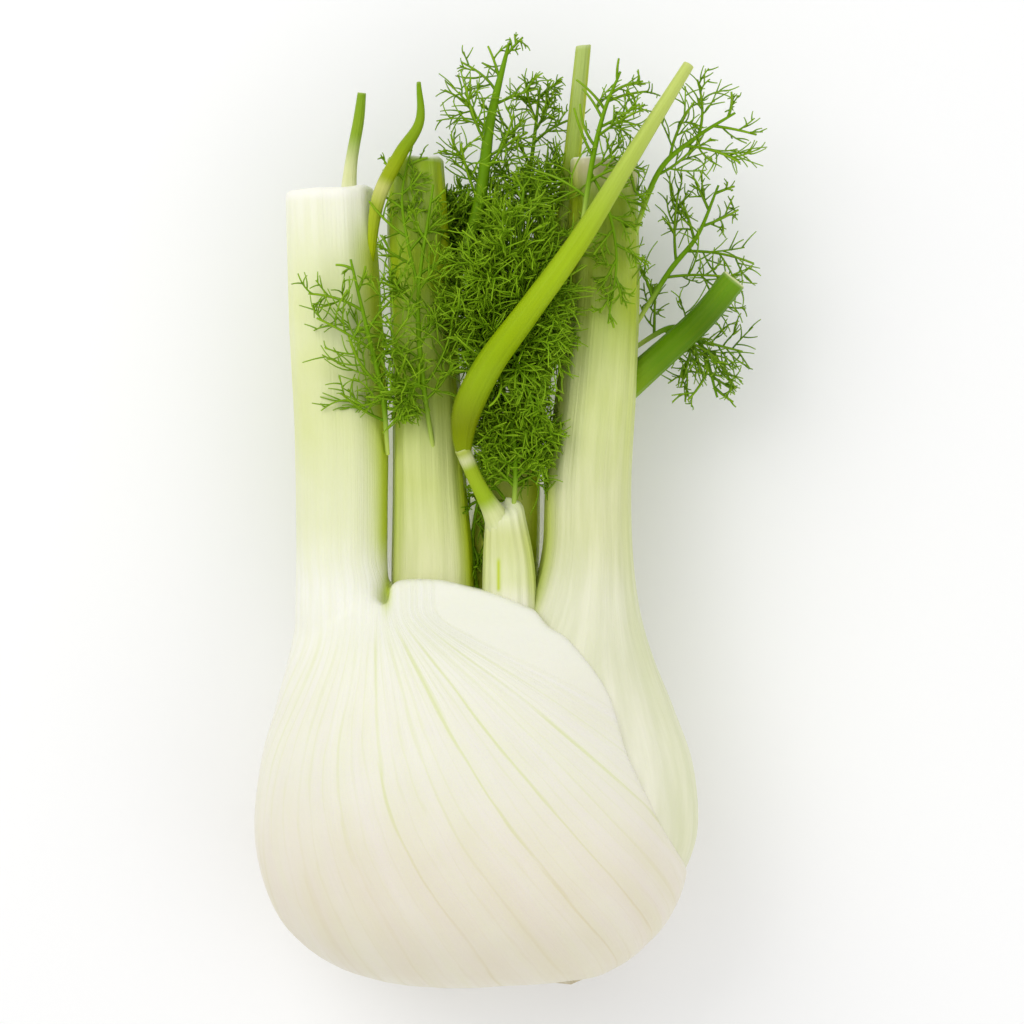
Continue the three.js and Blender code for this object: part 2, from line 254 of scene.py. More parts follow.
# %% Helpers for materials
ACROSS, ALONG, CUT, TONE_AND_SHADE = "across", "along", "cut", "tone_and_shade"


def add_node(tree, kind, inputs=None, **settings):
    node = tree.nodes.new(kind)
    for name, value in settings.items():
        setattr(node, name, value)
    for name, value in (inputs or {}).items():
        if isinstance(value, bpy.types.NodeSocket):
            tree.links.new(value, node.inputs[name])
        else:
            node.inputs[name].default_value = value
    return node


def shade_math(tree, operation, first, second=0.0):
    return add_node(tree, "ShaderNodeMath", {0: first, 1: second}, operation=operation).outputs[0]


def remap(tree, value, low, high, to_low=0.0, to_high=1.0):
    inputs = {"Value": value, "From Min": low, "From Max": high, "To Min": to_low, "To Max": to_high}
    return add_node(tree, "ShaderNodeMapRange", inputs, interpolation_type="SMOOTHSTEP").outputs["Result"]


def mix_colour(tree, share, first, second):
    node = add_node(tree, "ShaderNodeMix", data_type="RGBA")
    for socket, value in (("Factor_Float", share), ("A_Color", first), ("B_Color", second)):
        found = next(item for item in node.inputs if item.identifier == socket)
        if isinstance(value, bpy.types.NodeSocket):
            tree.links.new(value, found)
        else:
            found.default_value = value
    return next(item for item in node.outputs if item.identifier == "Result_Color")


def mesh_value(tree, name):
    return add_node(tree, "ShaderNodeAttribute", attribute_name=name).outputs["Fac"]


def colour(red, green, blue):
    """A colour as it looks on a screen, from 0 to 255, in the linear numbers that a shader works with"""
    linear = [(v / 255 / 12.92) if v <= 10 else ((v / 255 + 0.055) / 1.055) ** 2.4 for v in (red, green, blue)]
    return (*linear, 1.0)


def start_group(name, inputs, outputs):
    group = bpy.data.node_groups.new(name, "ShaderNodeTree")
    for title, kind, value in inputs:
        socket = group.interface.new_socket(name=title, in_out="INPUT", socket_type=kind)
        if value is not None:
            socket.default_value = value
    for title in outputs:
        group.interface.new_socket(name=title, in_out="OUTPUT", socket_type="NodeSocketFloat")
    return group, group.nodes.new("NodeGroupInput"), group.nodes.new("NodeGroupOutput")


print("values painted on meshes:", ACROSS, ALONG, CUT, TONE_AND_SHADE)

# %% [markdown]
# ### Fibres
#
# A fibre is a line of constant distance around the stalk. Noise that is read finely across and very coarsely along
# makes streaks, and a second, finer set breaks them up as the real ones are.

# %% Build the fibre group
FIBRE_INPUTS = [
    ("Across", "NodeSocketFloat", 0.0),
    ("Along", "NodeSocketFloat", 0.0),
    ("Per millimetre", "NodeSocketFloat", 1.0),
    ("Length", "NodeSocketFloat", 30.0),
]


def fibre_group():
    group, inside, outside = start_group("plant fibres", FIBRE_INPUTS, ["Streaks", "Fine streaks"])
    stretched = shade_math(group, "DIVIDE", inside.outputs["Along"], inside.outputs["Length"])
    for title, factor, detail in (("Streaks", 0.8, 3.0), ("Fine streaks", 2.4, 3.0)):
        step = shade_math(group, "MULTIPLY", inside.outputs["Per millimetre"], factor)
        place = shade_math(group, "MULTIPLY", inside.outputs["Across"], step)
        vector = add_node(group, "ShaderNodeCombineXYZ", {"X": place, "Y": stretched})
        noise_inputs = {"Vector": vector.outputs[0], "Scale": 1.0, "Detail": detail, "Roughness": 0.55}
        noise = add_node(group, "ShaderNodeTexNoise", noise_inputs)
        group.links.new(remap(group, noise.outputs["Fac"], 0.3, 0.7), outside.inputs[title])
    return group


FIBRES = fibre_group()
print("group", FIBRES.name)

# %% [markdown]
# ### Mottling
#
# Flesh is never one flat white. Broad, soft patches and a fine grain of cells are two noises of different size.

# %% Build the mottling group
MOTTLE_INPUTS = [
    ("Patch size", "NodeSocketFloat", 14.0),
    ("Grain size", "NodeSocketFloat", 1.2),
]


def mottle_group():
    group, inside, outside = start_group("flesh mottling", MOTTLE_INPUTS, ["Patches", "Grain"])
    place = add_node(group, "ShaderNodeTexCoord").outputs["Object"]
    for title, size in (("Patches", "Patch size"), ("Grain", "Grain size")):
        scale = shade_math(group, "DIVIDE", 1 / MM, inside.outputs[size])
        noise = add_node(group, "ShaderNodeTexNoise", {"Vector": place, "Scale": scale, "Detail": 2.0})
        group.links.new(remap(group, noise.outputs["Fac"], 0.3, 0.7), outside.inputs[title])
    return group


MOTTLING = mottle_group()
print("group", MOTTLING.name)


# %% [markdown]
# ## The skin of leaf bases, stalks and stems
#
# All of them share one recipe. The colour runs along the stalk through a ramp, from the white of the bulb to the green
# of the top. A deeper olive-green is painted along one edge, painted shade where the stalk turns away from the light,
# streaks follow the fibres, and a cut end shows pale flesh. Fine ridges and grain are a bump, because they are too
# small for the mesh.


# %% Helper that mixes a plant skin
def colour_ramp(tree, share, stops):
    ramp = tree.nodes.new("ShaderNodeValToRGB")
    ramp.color_ramp.interpolation = "EASE"
    while len(ramp.color_ramp.elements) < len(stops):
        ramp.color_ramp.elements.new(0.5)
    for element, (place, shade) in zip(ramp.color_ramp.elements, stops):
        element.position = place
        element.color = shade
    tree.links.new(share, ramp.inputs["Fac"])
    return ramp.outputs["Color"]


def plant_skin(name, stops, streak, edge, cut, fibres=1.0, length=30.0, streak_share=0.45, ridge=0.12, rough=0.4, paler_share=0.22, gloss=0.3):
    """stops: (height in mm along the plant, colour); streak, edge and cut: colours of streaks, of the painted shade
    along an edge, and of the cut
    """
    material = bpy.data.materials.new(name)
    material.use_nodes = True
    tree = material.node_tree
    shader = tree.nodes["Principled BSDF"]
    low, high = stops[0][0], stops[-1][0]
    along = mesh_value(tree, ALONG)
    fibre = add_node(tree, "ShaderNodeGroup", node_tree=FIBRES)
    tree.links.new(mesh_value(tree, ACROSS), fibre.inputs["Across"])
    tree.links.new(along, fibre.inputs["Along"])
    fibre.inputs["Per millimetre"].default_value = fibres
    fibre.inputs["Length"].default_value = length
    mottle = add_node(tree, "ShaderNodeGroup", node_tree=MOTTLING)
    height = shade_math(tree, "DIVIDE", shade_math(tree, "SUBTRACT", along, low), high - low)
    skin = colour_ramp(tree, height, [((place - low) / (high - low), shade) for place, shade in stops])
    streaks = shade_math(tree, "MULTIPLY", fibre.outputs["Streaks"], streak_share)
    skin = mix_colour(tree, streaks, skin, streak)
    paler = shade_math(tree, "MULTIPLY", mottle.outputs["Patches"], paler_share)
    skin = mix_colour(tree, paler, skin, mix_colour(tree, 0.6, skin, cut))
    # Painted shade: the edge colour goes where the mesh's painted shade value is high
    skin = mix_colour(tree, shade_math(tree, "MULTIPLY", mesh_value(tree, TONE_AND_SHADE), 0.9), skin, edge)
    skin = mix_colour(tree, mesh_value(tree, CUT), skin, cut)
    tree.links.new(skin, shader.inputs["Base Color"])
    tree.links.new(remap(tree, fibre.outputs["Fine streaks"], 0, 1, rough - 0.06, rough + 0.1), shader.inputs["Roughness"])
    relief = shade_math(tree, "MULTIPLY", fibre.outputs["Fine streaks"], ridge)
    relief = shade_math(tree, "ADD", relief, shade_math(tree, "MULTIPLY", mottle.outputs["Grain"], 0.03))
    bump = add_node(tree, "ShaderNodeBump", {"Height": relief, "Strength": 0.7, "Distance": MM})
    tree.links.new(bump.outputs["Normal"], shader.inputs["Normal"])
    shader.inputs["Subsurface Weight"].default_value = 0.12
    shader.inputs["Subsurface Radius"].default_value = (0.9, 1.0, 0.6)
    shader.inputs["Subsurface Scale"].default_value = 2 * MM
    shader.inputs["Specular IOR Level"].default_value = gloss
    return material


WHITE_FLESH = colour(244, 243, 230)
CREAM = colour(238, 236, 216)
PALE_GREEN = colour(222, 226, 168)
FRESH_GREEN = colour(176, 194, 84)
OLIVE = colour(140, 158, 14)
DARK_OLIVE = colour(128, 144, 0)
# The painted shade colour of a stalk's edge that turns away from the light
EDGE_SHADE_GREEN = colour(190, 208, 0)
print("plant skins run from white flesh to deep green")


# %% [markdown]
# ## The front sheath and its stalk
#
# The outer left leaf is the hero of this bulb. Its base wraps the whole front, ends in a free edge that slants down
# to the right, and rises at the left as a thick stalk. A single loft can't branch like that. So the base, the stalk
# and the flesh inside are lofts of their own, the base is cut to its outline seen from above, and a fine voxel remesh
# grows them together with the soft hollow that a leaf has where its stalk begins.

# %% Measured stations of the left leaf
SHEATH_BODY = [
    {"left": (9, -54.5), "right": (20, -53), "mid": 32.5, "front": 3, "back": 3},
    {"left": (-14, -54), "right": (31, -50.5), "mid": 34.5, "front": 14, "back": 14},
    {"left": (-33, -49), "right": (41, -43), "mid": 35.5, "front": 24, "back": 24},
    {"left": (-46.5, -38), "right": (48, -33), "mid": 36.5, "front": 31, "back": 31},
    {"left": (-53, -20), "right": (51.5, -18), "mid": 36.5, "front": 35, "back": 35.8},
    {"left": (-52.3, -1), "right": (50.5, -1), "mid": 36.5, "front": 34.5, "back": 37.2},
    {"left": (-48.5, 14), "right": (46, 12), "mid": 36.5, "front": 31, "back": 38},
    {"left": (-45.6, 25), "right": (42, 24), "mid": 36.5, "front": 25, "back": 35},
    {"left": (-43.8, 33), "right": (39, 33), "mid": 36.5, "front": 18.5, "back": 25},
    {"left": (-42.6, 40), "right": (37.5, 40), "mid": 36.5, "front": 13.5, "back": 17},
    {"left": (-41, 48), "right": (36.5, 48), "mid": 36.5, "front": 9.5, "back": 9.5},
]
LEFT_STALK = [
    {"left": (-44, 22), "right": (-16, 22), "mid": 36.5, "front": 13, "back": 13},
    {"left": (-43.6, 35), "right": (-20.8, 35), "mid": 36.5, "front": 12, "back": 11.5},
    {"left": (-43.2, 47), "right": (-22, 46), "mid": 36.5, "front": 11, "back": 10.5},
    {"left": (-43.2, 58), "right": (-22, 58), "mid": 36.5, "front": 9.8, "back": 9.3},
    {"left": (-43.6, 80), "right": (-21.8, 80), "mid": 36.5, "front": 9.5, "back": 8.5},
    {"left": (-45, 105), "right": (-23, 105), "mid": 36.5, "front": 9.2, "back": 8.5},
    {"left": (-46, 136.5), "right": (-25, 137.5), "mid": 36.5, "front": 9.5, "back": 8.5},
]
FREE_EDGE = [(60, -60), (51, -28), (44, -14), (36, 3), (31, 18), (22, 29.5), (16.5, 33)]
RIM = [(13.5, 36.8), (5.3, 40.2), (-1.9, 42.2), (-9.1, 43.9), (-17.4, 44), (-20.4, 42.6), (-20.9, 39.6), (-21.6, 37.2)]
AROUND_THE_REST = [(-24, 39.5), (-29, 44), (-36, 48), (-90, 52), (-90, -70), (60, -70)]
SHEATH_STEP = 5
FILLED_STATIONS = slice(2, 8)
print("sheath from", SHEATH_BODY[0]["left"], "to the stalk's cut at", LEFT_STALK[-1]["right"])


# %% Grow the left leaf as one skin
EDGE_POINTS = 60
CUT_DEPTH = 100
SKIN_VOXEL = 0.78
SKIN_SMOOTHING = 7
SHOULDER, SHOULDER_RADIUS, SHOULDER_ROUNDS = (-29.5, 43.5), 8.5, 60


def close_ends(rows):
    count, columns = rows.shape[:2]
    points = np.vstack([rows.reshape(-1, 3), rows[0].mean(0), rows[-1].mean(0)])
    ring = np.arange(columns)
    following = (ring + 1) % columns
    near, last = count * columns, (count - 1) * columns
    near_cap = np.stack([np.full(columns, near), following, ring], 1)
    far_cap = np.stack([np.full(columns, near + 1), last + ring, last + following], 1)
    return points, [tube_faces(count, columns), near_cap, far_cap]


def end_piece(rows, rings=CUT_RINGS):
    """More rings beyond the last one: dished as a knife and drying leave a stalk, or domed where it grew shut"""
    centre = rows[-1].mean(0)
    along = centre - rows[-2].mean(0)
    along /= np.linalg.norm(along)
    radius = np.linalg.norm(rows[-1] - centre, axis=1).mean()
    around = 2 * math.pi * np.arange(rows.shape[1]) / rows.shape[1]
    wave = (1 + CUT_WAVE * np.cos(3 * around + 1) * (0.3 + 0.7 * np.cos(around)))[:, None]
    extra = [centre + (rows[-1] - centre) * size + along * wave * rise * radius * RISE for size, rise in rings]
    return np.concatenate([rows, np.array(extra)])


def outline_block(outline):
    points = np.array(outline, float)
    count = len(points)
    low = np.column_stack([points, np.full(count, -CUT_DEPTH)])
    high = np.column_stack([points, np.full(count, CUT_DEPTH)])
    block = bmesh.new()
    bottom = [block.verts.new(p * MM) for p in low]
    top = [block.verts.new(p * MM) for p in high]
    block.faces.new(bottom)
    block.faces.new(top)
    for i in range(count):
        j = (i + 1) % count
        block.faces.new([bottom[i], bottom[j], top[j], top[i]])
    bmesh.ops.recalc_face_normals(block, faces=block.faces)
    mesh = bpy.data.meshes.new("outline_block")
    block.to_mesh(mesh)
    block.free()
    return mesh


def helper_object(mesh):
    item = bpy.data.objects.new(mesh.name, mesh)
    scene.collection.objects.link(item)
    return item


def finished_mesh(item, name):
    depsgraph = bpy.context.evaluated_depsgraph_get()
    mesh = bpy.data.meshes.new_from_object(item.evaluated_get(depsgraph))
    mesh.name = name
    return mesh


def solid_mesh(name, rows):
    points, faces = close_ends(rows)
    mesh = make_mesh(name, points, faces, {})
    shape = bmesh.new()
    shape.from_mesh(mesh)
    bmesh.ops.recalc_face_normals(shape, faces=shape.faces)
    shape.to_mesh(mesh)
    shape.free()
    return mesh


def drawn_in(stations, depth):
    made = []
    for i, row in enumerate(stations):
        shift = depth if i == 0 else -depth if i == len(stations) - 1 else 0
        (left, near), (right, far) = row["left"], row["right"]
        thinner = {"front": row["front"] - depth, "back": row["back"] - depth}
        made.append({"left": (left + depth, near + shift), "right": (right - depth, far + shift), "mid": row["mid"], **thinner})
    return made


def grown_together(name, parts, voxel, smoothing):
    whole = bmesh.new()
    for part in parts:
        whole.from_mesh(part)
    mesh = bpy.data.meshes.new(name)
    whole.to_mesh(mesh)
    whole.free()
    item = helper_object(mesh)
    remesh = item.modifiers.new("grow", "REMESH")
    remesh.mode = "VOXEL"
    remesh.voxel_size = voxel * MM
    soften = item.modifiers.new("soften", "SMOOTH")
    soften.iterations = smoothing
    done = finished_mesh(item, name)
    bpy.data.objects.remove(item)
    return done


def soften_around(mesh, centre, radius, rounds):
    """Moves each point near this place towards the mean of its neighbours, again and again"""
    points = np.empty(len(mesh.vertices) * 3, np.float32)
    mesh.vertices.foreach_get("co", points)
    points = points.reshape(-1, 3) / MM
    edges = np.empty(len(mesh.edges) * 2, np.int32)
    mesh.edges.foreach_get("vertices", edges)
    away = np.hypot(points[:, 0] - centre[0], points[:, 1] - centre[1])
    weight = 1 - smooth_step(away, 0.4 * radius, radius)
    pairs = edges.reshape(-1, 2)
    pairs = pairs[(weight[pairs] > 0).any(1)]
    both = np.vstack([pairs, pairs[:, ::-1]])
    neighbours = np.maximum(np.bincount(both[:, 0], minlength=len(points)), 1)
    for _ in range(rounds):
        sums = [np.bincount(both[:, 0], points[both[:, 1], axis], len(points)) for axis in range(3)]
        mean = np.column_stack(sums) / neighbours[:, None]
        points = np.where(weight[:, None] > 0, points + weight[:, None] * (mean - points), points)
    mesh.vertices.foreach_set("co", (points * MM).astype(np.float32).ravel())


shares = np.linspace(0, 1, EDGE_POINTS)
outline = np.vstack([smooth_line(FREE_EDGE, shares), smooth_line(RIM, shares), AROUND_THE_REST])
sheath = helper_object(solid_mesh("sheath", loft(SHEATH_BODY, 90, 140)))
cutter = helper_object(outline_block(outline))
trim = sheath.modifiers.new("free edge", "BOOLEAN")
trim.operation, trim.object, trim.solver = "INTERSECT", cutter, "EXACT"
parts = [
    finished_mesh(sheath, "trimmed_sheath"),
    solid_mesh("flesh", loft(drawn_in(SHEATH_BODY[FILLED_STATIONS], SHEATH_STEP), 40, 90)),
    solid_mesh("left_stalk", end_piece(loft(LEFT_STALK, 90, 72, ribs=10, rib_height=0.35))),
]
for helper in (sheath, cutter):
    bpy.data.objects.remove(helper)
left_leaf = grown_together("leaf_left", parts, SKIN_VOXEL, SKIN_SMOOTHING)
soften_around(left_leaf, SHOULDER, SHOULDER_RADIUS, SHOULDER_ROUNDS)
print("left leaf:", triangles_of(left_leaf), "triangles")

# %% [markdown]
# ### The lines that the fibres follow
#
# On the stalk the fibres run straight. Below it they spread like a fan from one point, where the slot beside the
# stalk ends, and further down they all lean to the right, towards the root. One number says which line of the fan a
# point lies on: its distance across, less the lean, divided by how wide the fan is there. The veins are whole numbers
# of an even step in it. A second value says how many millimetres apart two veins lie, which keeps a vein's width the
# same all the way down.

# %% Work out the fan and its veins
FAN_CENTRE = (-24.0, 40.0)
LEFT_FOOT, RIGHT_FOOT = 14.0, 6.0
WIDEST_FAN = 74.0
LEAN_STARTS, LEAN_FULL, LEAN = 26.0, 70.0, 0.66
STALK_FOOT = -31.8
VEIN_STEP = 0.31
FIBRE_SPREAD = 22.0
GROOVE = 0.13
VEIN, VEIN_GAP, VEIN_SHOWS = "vein", "vein_gap", "vein_shows"
SLOT_END = (-21.5, 41.5)
DENTS = [(17.0, 23.0, 31.0, 0.4), (41.0, 37.0, 19.0, 0.5), (9.0, 13.0, 11.0, 0.12)]


def cross_section(stations, along):
    left, right, middle = station_lines(stations, np.linspace(0, 1, 200))
    place = (left[:, 1] + right[:, 1]) / 2
    read = [(left[:, 0] + right[:, 0]) / 2, (right[:, 0] - left[:, 0]) / 2, *middle[:, :3].T]
    return [np.interp(along, place, values) for values in read]


def unrolled_by(x, z, section):
    """How far round its section a point lies, and how much further out that is than it looks from above"""
    middle, half, height, front, back = section
    deep = np.where(z > height, front, back)
    turned = np.arctan2((z - height) / deep, (x - middle) / half)
    turned = np.where(turned < -math.pi / 2, turned + 2 * math.pi, turned)
    return turned, half * (math.pi / 2 - turned - np.cos(turned)) * np.minimum(front / half, 1) ** 1.5


def leaned(below):
    """How far to the right the fan has moved at this depth below its centre"""
    span = LEAN_FULL - LEAN_STARTS
    into = np.clip(below - LEAN_STARTS, 0, span)
    return LEAN * (into**2 / (2 * span) + np.maximum(below - LEAN_FULL, 0))


def fan_values(points):
    x, y, z = points.T
    stalk = cross_section(LEFT_STALK, y)
    _, by_body = unrolled_by(x, z, cross_section(SHEATH_BODY, y))
    turned, by_stalk = unrolled_by(x, z, stalk)
    above = smooth_step(y, 42, 50)
    by_stalk = np.where(by_stalk < 0, by_stalk, by_stalk * above)
    to_stalk = smooth_step(y, 8, 44)
    out = (1 - to_stalk) * by_body + to_stalk * by_stalk
    drift = above * (stalk[0] - STALK_FOOT)
    below = np.maximum(FAN_CENTRE[1] - y, 0)
    across = x + out - drift - FAN_CENTRE[0] - leaned(below)
    wide = below / np.sqrt(1 + (below / WIDEST_FAN) ** 2)
    spread = (wide**4 + np.where(across < 0, LEFT_FOOT, RIGHT_FOOT) ** 4) ** 0.25
    return across / spread, spread, turned


def dents(points):
    x, y, z = points.T
    return sum(depth * np.sin(x / a + z / c) * np.sin(y / b + 2 * depth) for a, b, c, depth in DENTS)


def read_mesh(mesh):
    points = np.empty(len(mesh.vertices) * 3, np.float32)
    mesh.vertices.foreach_get("co", points)
    normals = np.empty_like(points)
    mesh.vertices.foreach_get("normal", normals)
    return points.reshape(-1, 3).astype(float) / MM, normals.reshape(-1, 3).astype(float)


points, normals = read_mesh(left_leaf)
line, spread, turned = fan_values(points)
vein = line / VEIN_STEP
on_sheath = 1 - smooth_step(points[:, 1], 30, 42)
veins_show = (1 - smooth_step(points[:, 1], 24, 37)) * (1 - smooth_step(line, 1.5, 2.2)) * smooth_step(line, -1.6, -0.9)
groove = GROOVE * veins_show * (0.5 + 0.5 * np.cos(2 * math.pi * vein)) ** 3
relief = dents(points) * (0.35 + 0.65 * on_sheath) - groove
points += normals * relief[:, None]
points[:, 2] = np.maximum(points[:, 2], 0)
left_leaf.vertices.foreach_set("co", (points * MM).ravel())
stalk_top = LEFT_STALK[-1]["left"][1]
# Painted shade: the stalk's right edge, where it turns away from the light, and the end of the slot beside it take a
# deeper olive-green
on_stalk = smooth_step(points[:, 1], 44, 56)
wider = smooth_step(points[:, 1], 55, 100)
edge_shade = on_stalk * (1 - smooth_step(np.abs(turned) - 0.25 * wider, 0.3, 1.1)) * (1 - smooth_step(points[:, 1], 120, 134))
slot_shade = np.exp(-(((points[:, 0] - SLOT_END[0]) / 1.1) ** 2) - ((points[:, 1] - SLOT_END[1]) / 4.5) ** 2)
paint_values(
    left_leaf,
    {
        ACROSS: np.clip(line, -3, 2.4) * FIBRE_SPREAD,
        ALONG: points[:, 1],
        CUT: smooth_step(points[:, 1], stalk_top - 2.5, stalk_top - 0.3),
        TONE_AND_SHADE: np.maximum(edge_shade, slot_shade),
        VEIN: vein,
        VEIN_GAP: VEIN_STEP * spread,
        VEIN_SHOWS: veins_show,
    },
)
left_leaf.shade_smooth()
print("veins on the front:", int(np.ptp(vein[on_sheath > 0.5])))

# %% [markdown]
# ### The finish of the sheath
#
# Bulb flesh is a warm white that turns a little beige towards the root. Its veins are hair-thin and pale green, and
# they fade to straw further down, where a broad band along each is painted a touch darker, painted shade of the shallow
# groove it lies in.

# %% Finish the left leaf
SHEATH_STOPS = [
    (-55, colour(230, 222, 204)),
    (-28, colour(230, 222, 208)),
    (8, colour(232, 229, 217)),
    (40, colour(240, 240, 228)),
    (58, colour(226, 229, 190)),
    (85, colour(216, 222, 154)),
    (112, colour(222, 228, 168)),
    (137, colour(240, 240, 222)),
]
VEIN_WIDTH = 0.8
FINE_VEINS = 3


def draw_veins(material, strength):
    """Adds vein lines to a finished plant skin, between its last colour and its shader"""
    tree = material.node_tree
    shader = tree.nodes["Principled BSDF"]
    skin = shader.inputs["Base Color"].links[0].from_socket
    index = mesh_value(tree, VEIN)
    fibre = next(node for node in tree.nodes if node.type == "GROUP" and node.node_tree == FIBRES)
    wobble = shade_math(tree, "MULTIPLY", shade_math(tree, "SUBTRACT", fibre.outputs["Streaks"], 0.5), 0.12)
    index = shade_math(tree, "ADD", index, wobble)
    nearest = shade_math(tree, "ABSOLUTE", shade_math(tree, "SUBTRACT", index, shade_math(tree, "ROUND", index)))
    distance = shade_math(tree, "MULTIPLY", nearest, mesh_value(tree, VEIN_GAP))
    line_mask = remap(tree, distance, 0.1, VEIN_WIDTH, 1.0, 0.0)
    groove_shade_mask = remap(tree, nearest, 0.1, 0.5, 1.0, 0.0)
    shows = shade_math(tree, "MULTIPLY", mesh_value(tree, VEIN_SHOWS), strength)
    lower = remap(tree, mesh_value(tree, ALONG), 5, -35)
    vein_colour = mix_colour(tree, lower, colour(212, 220, 152), colour(218, 207, 172))
    # Painted shade: a broad band along each vein is darkened, as the shade of the shallow groove it lies in
    groove_shade = shade_math(tree, "MULTIPLY", shade_math(tree, "MULTIPLY", groove_shade_mask, shows), 0.35)
    skin = mix_colour(tree, groove_shade, skin, mix_colour(tree, lower, colour(236, 237, 212), colour(222, 211, 180)))
    chance = add_node(tree, "ShaderNodeTexWhiteNoise", {"W": shade_math(tree, "ROUND", index)}, noise_dimensions="1D")
    strong = remap(tree, chance.outputs["Value"], 0.0, 0.7, 0.45, 1.0)
    line_mask = shade_math(tree, "MULTIPLY", line_mask, strong)
    finer = shade_math(tree, "MULTIPLY", index, FINE_VEINS)
    finer = shade_math(tree, "ABSOLUTE", shade_math(tree, "SUBTRACT", finer, shade_math(tree, "ROUND", finer)))
    finer = shade_math(tree, "MULTIPLY", finer, shade_math(tree, "DIVIDE", mesh_value(tree, VEIN_GAP), FINE_VEINS))
    fine_mask = shade_math(tree, "MULTIPLY", remap(tree, finer, 0.05, VEIN_WIDTH / 2, 1.0, 0.0), 0.3)
    line_mask = shade_math(tree, "MAXIMUM", line_mask, fine_mask)
    fading = remap(tree, fibre.outputs["Streaks"], 0.0, 0.8, 0.45, 1.0)
    lines = shade_math(tree, "MULTIPLY", shade_math(tree, "MULTIPLY", line_mask, shows), fading)
    skin = mix_colour(tree, lines, skin, vein_colour)
    tree.links.new(skin, shader.inputs["Base Color"])


sheath_skin = plant_skin("sheath_skin", SHEATH_STOPS, PALE_GREEN, EDGE_SHADE_GREEN, WHITE_FLESH, fibres=0.5, streak_share=0.22, ridge=0.08)
draw_veins(sheath_skin, 0.62)
place_piece(left_leaf, "leaf_left", sheath_skin)

# %% [markdown]
# ## Stalks with a loft of their own
#
# The right leaf and the inner stalks don't branch, so each is one fine loft with ribs along it and a cut end. Their
# green deepens upwards, and a deeper olive is painted along their edges, painted shade where a stalk turns away from
# the light.

# %% Measured stations of the other stalks
RIGHT_LEAF = [
    {"left": (2, -43), "right": (34, -41), "mid": 36.5, "front": 10, "back": 12},
    {"left": (-8, -33), "right": (45.5, -32), "mid": 36.5, "front": 20, "back": 21},
    {"left": (-10, -18), "right": (52.2, -18), "mid": 36.5, "front": 25, "back": 27},
    {"left": (-8, -1), "right": (51.5, -1), "mid": 36.5, "front": 24.8, "back": 28},
    {"left": (-3, 13), "right": (46.8, 13), "mid": 36.5, "front": 22.2, "back": 28},
    {"left": (4, 25), "right": (42, 25), "mid": 36.5, "front": 18.2, "back": 26},
    {"left": (11, 36), "right": (38.8, 36), "mid": 36.5, "front": 14, "back": 18},
    {"left": (15.5, 50), "right": (37, 50), "mid": 36.5, "front": 11.3, "back": 12},
    {"left": (16.5, 68), "right": (36.6, 68), "mid": 36.5, "front": 10.3, "back": 10},
    {"left": (19, 90), "right": (37.8, 90), "mid": 36.5, "front": 9.6, "back": 9.2},
    {"left": (21.5, 115), "right": (38.6, 115), "mid": 36.5, "front": 9, "back": 8.6},
    {"left": (22.5, 144.5), "right": (38, 143.5), "mid": 36.5, "front": 8.6, "back": 8.2},
]
STALK_MID_LEFT = [
    {"left": (-21, 20), "right": (-1.2, 20), "mid": 35, "front": 9, "back": 9},
    {"left": (-20.6, 45), "right": (-1.2, 45), "mid": 35, "front": 9, "back": 9},
    {"left": (-20.2, 70), "right": (-3.2, 70), "mid": 35, "front": 8.8, "back": 8.4},
    {"left": (-20.5, 100), "right": (-5, 100), "mid": 35, "front": 8.3, "back": 8},
    {"left": (-21.5, 125), "right": (-7, 125), "mid": 35, "front": 7.8, "back": 7.6},
    {"left": (-21.5, 145), "right": (-8.5, 144.5), "mid": 35, "front": 7.2, "back": 7},
]
STALK_MIDDLE = [
    {"left": (1.4, 20), "right": (14, 20), "mid": 41, "front": 7, "back": 5},
    {"left": (1.4, 45), "right": (13.6, 45), "mid": 41.5, "front": 6.6, "back": 5},
    {"left": (2, 58), "right": (10.8, 61), "mid": 42, "front": 5.4, "back": 3.8, "lean": -0.25},
]
STALK_BACK = [
    {"left": (-3, 20), "right": (13, 20), "mid": 28, "front": 5, "back": 6},
    {"left": (-2.5, 50), "right": (14.6, 50), "mid": 28.5, "front": 5, "back": 5},
    {"left": (4.5, 80), "right": (15.3, 80), "mid": 32, "front": 4, "back": 4},
    {"left": (15, 108), "right": (20.6, 108), "mid": 31, "front": 3, "back": 3},
    {"left": (19.4, 135), "right": (23.4, 135), "mid": 31, "front": 2, "back": 2},
    {"left": (21.1, 148), "right": (24.8, 148), "mid": 31.6, "front": 1.8, "back": 1.8},
    {"left": (23.8, 172.3), "right": (27, 172.6), "mid": 33, "front": 1.6, "back": 1.6},
]
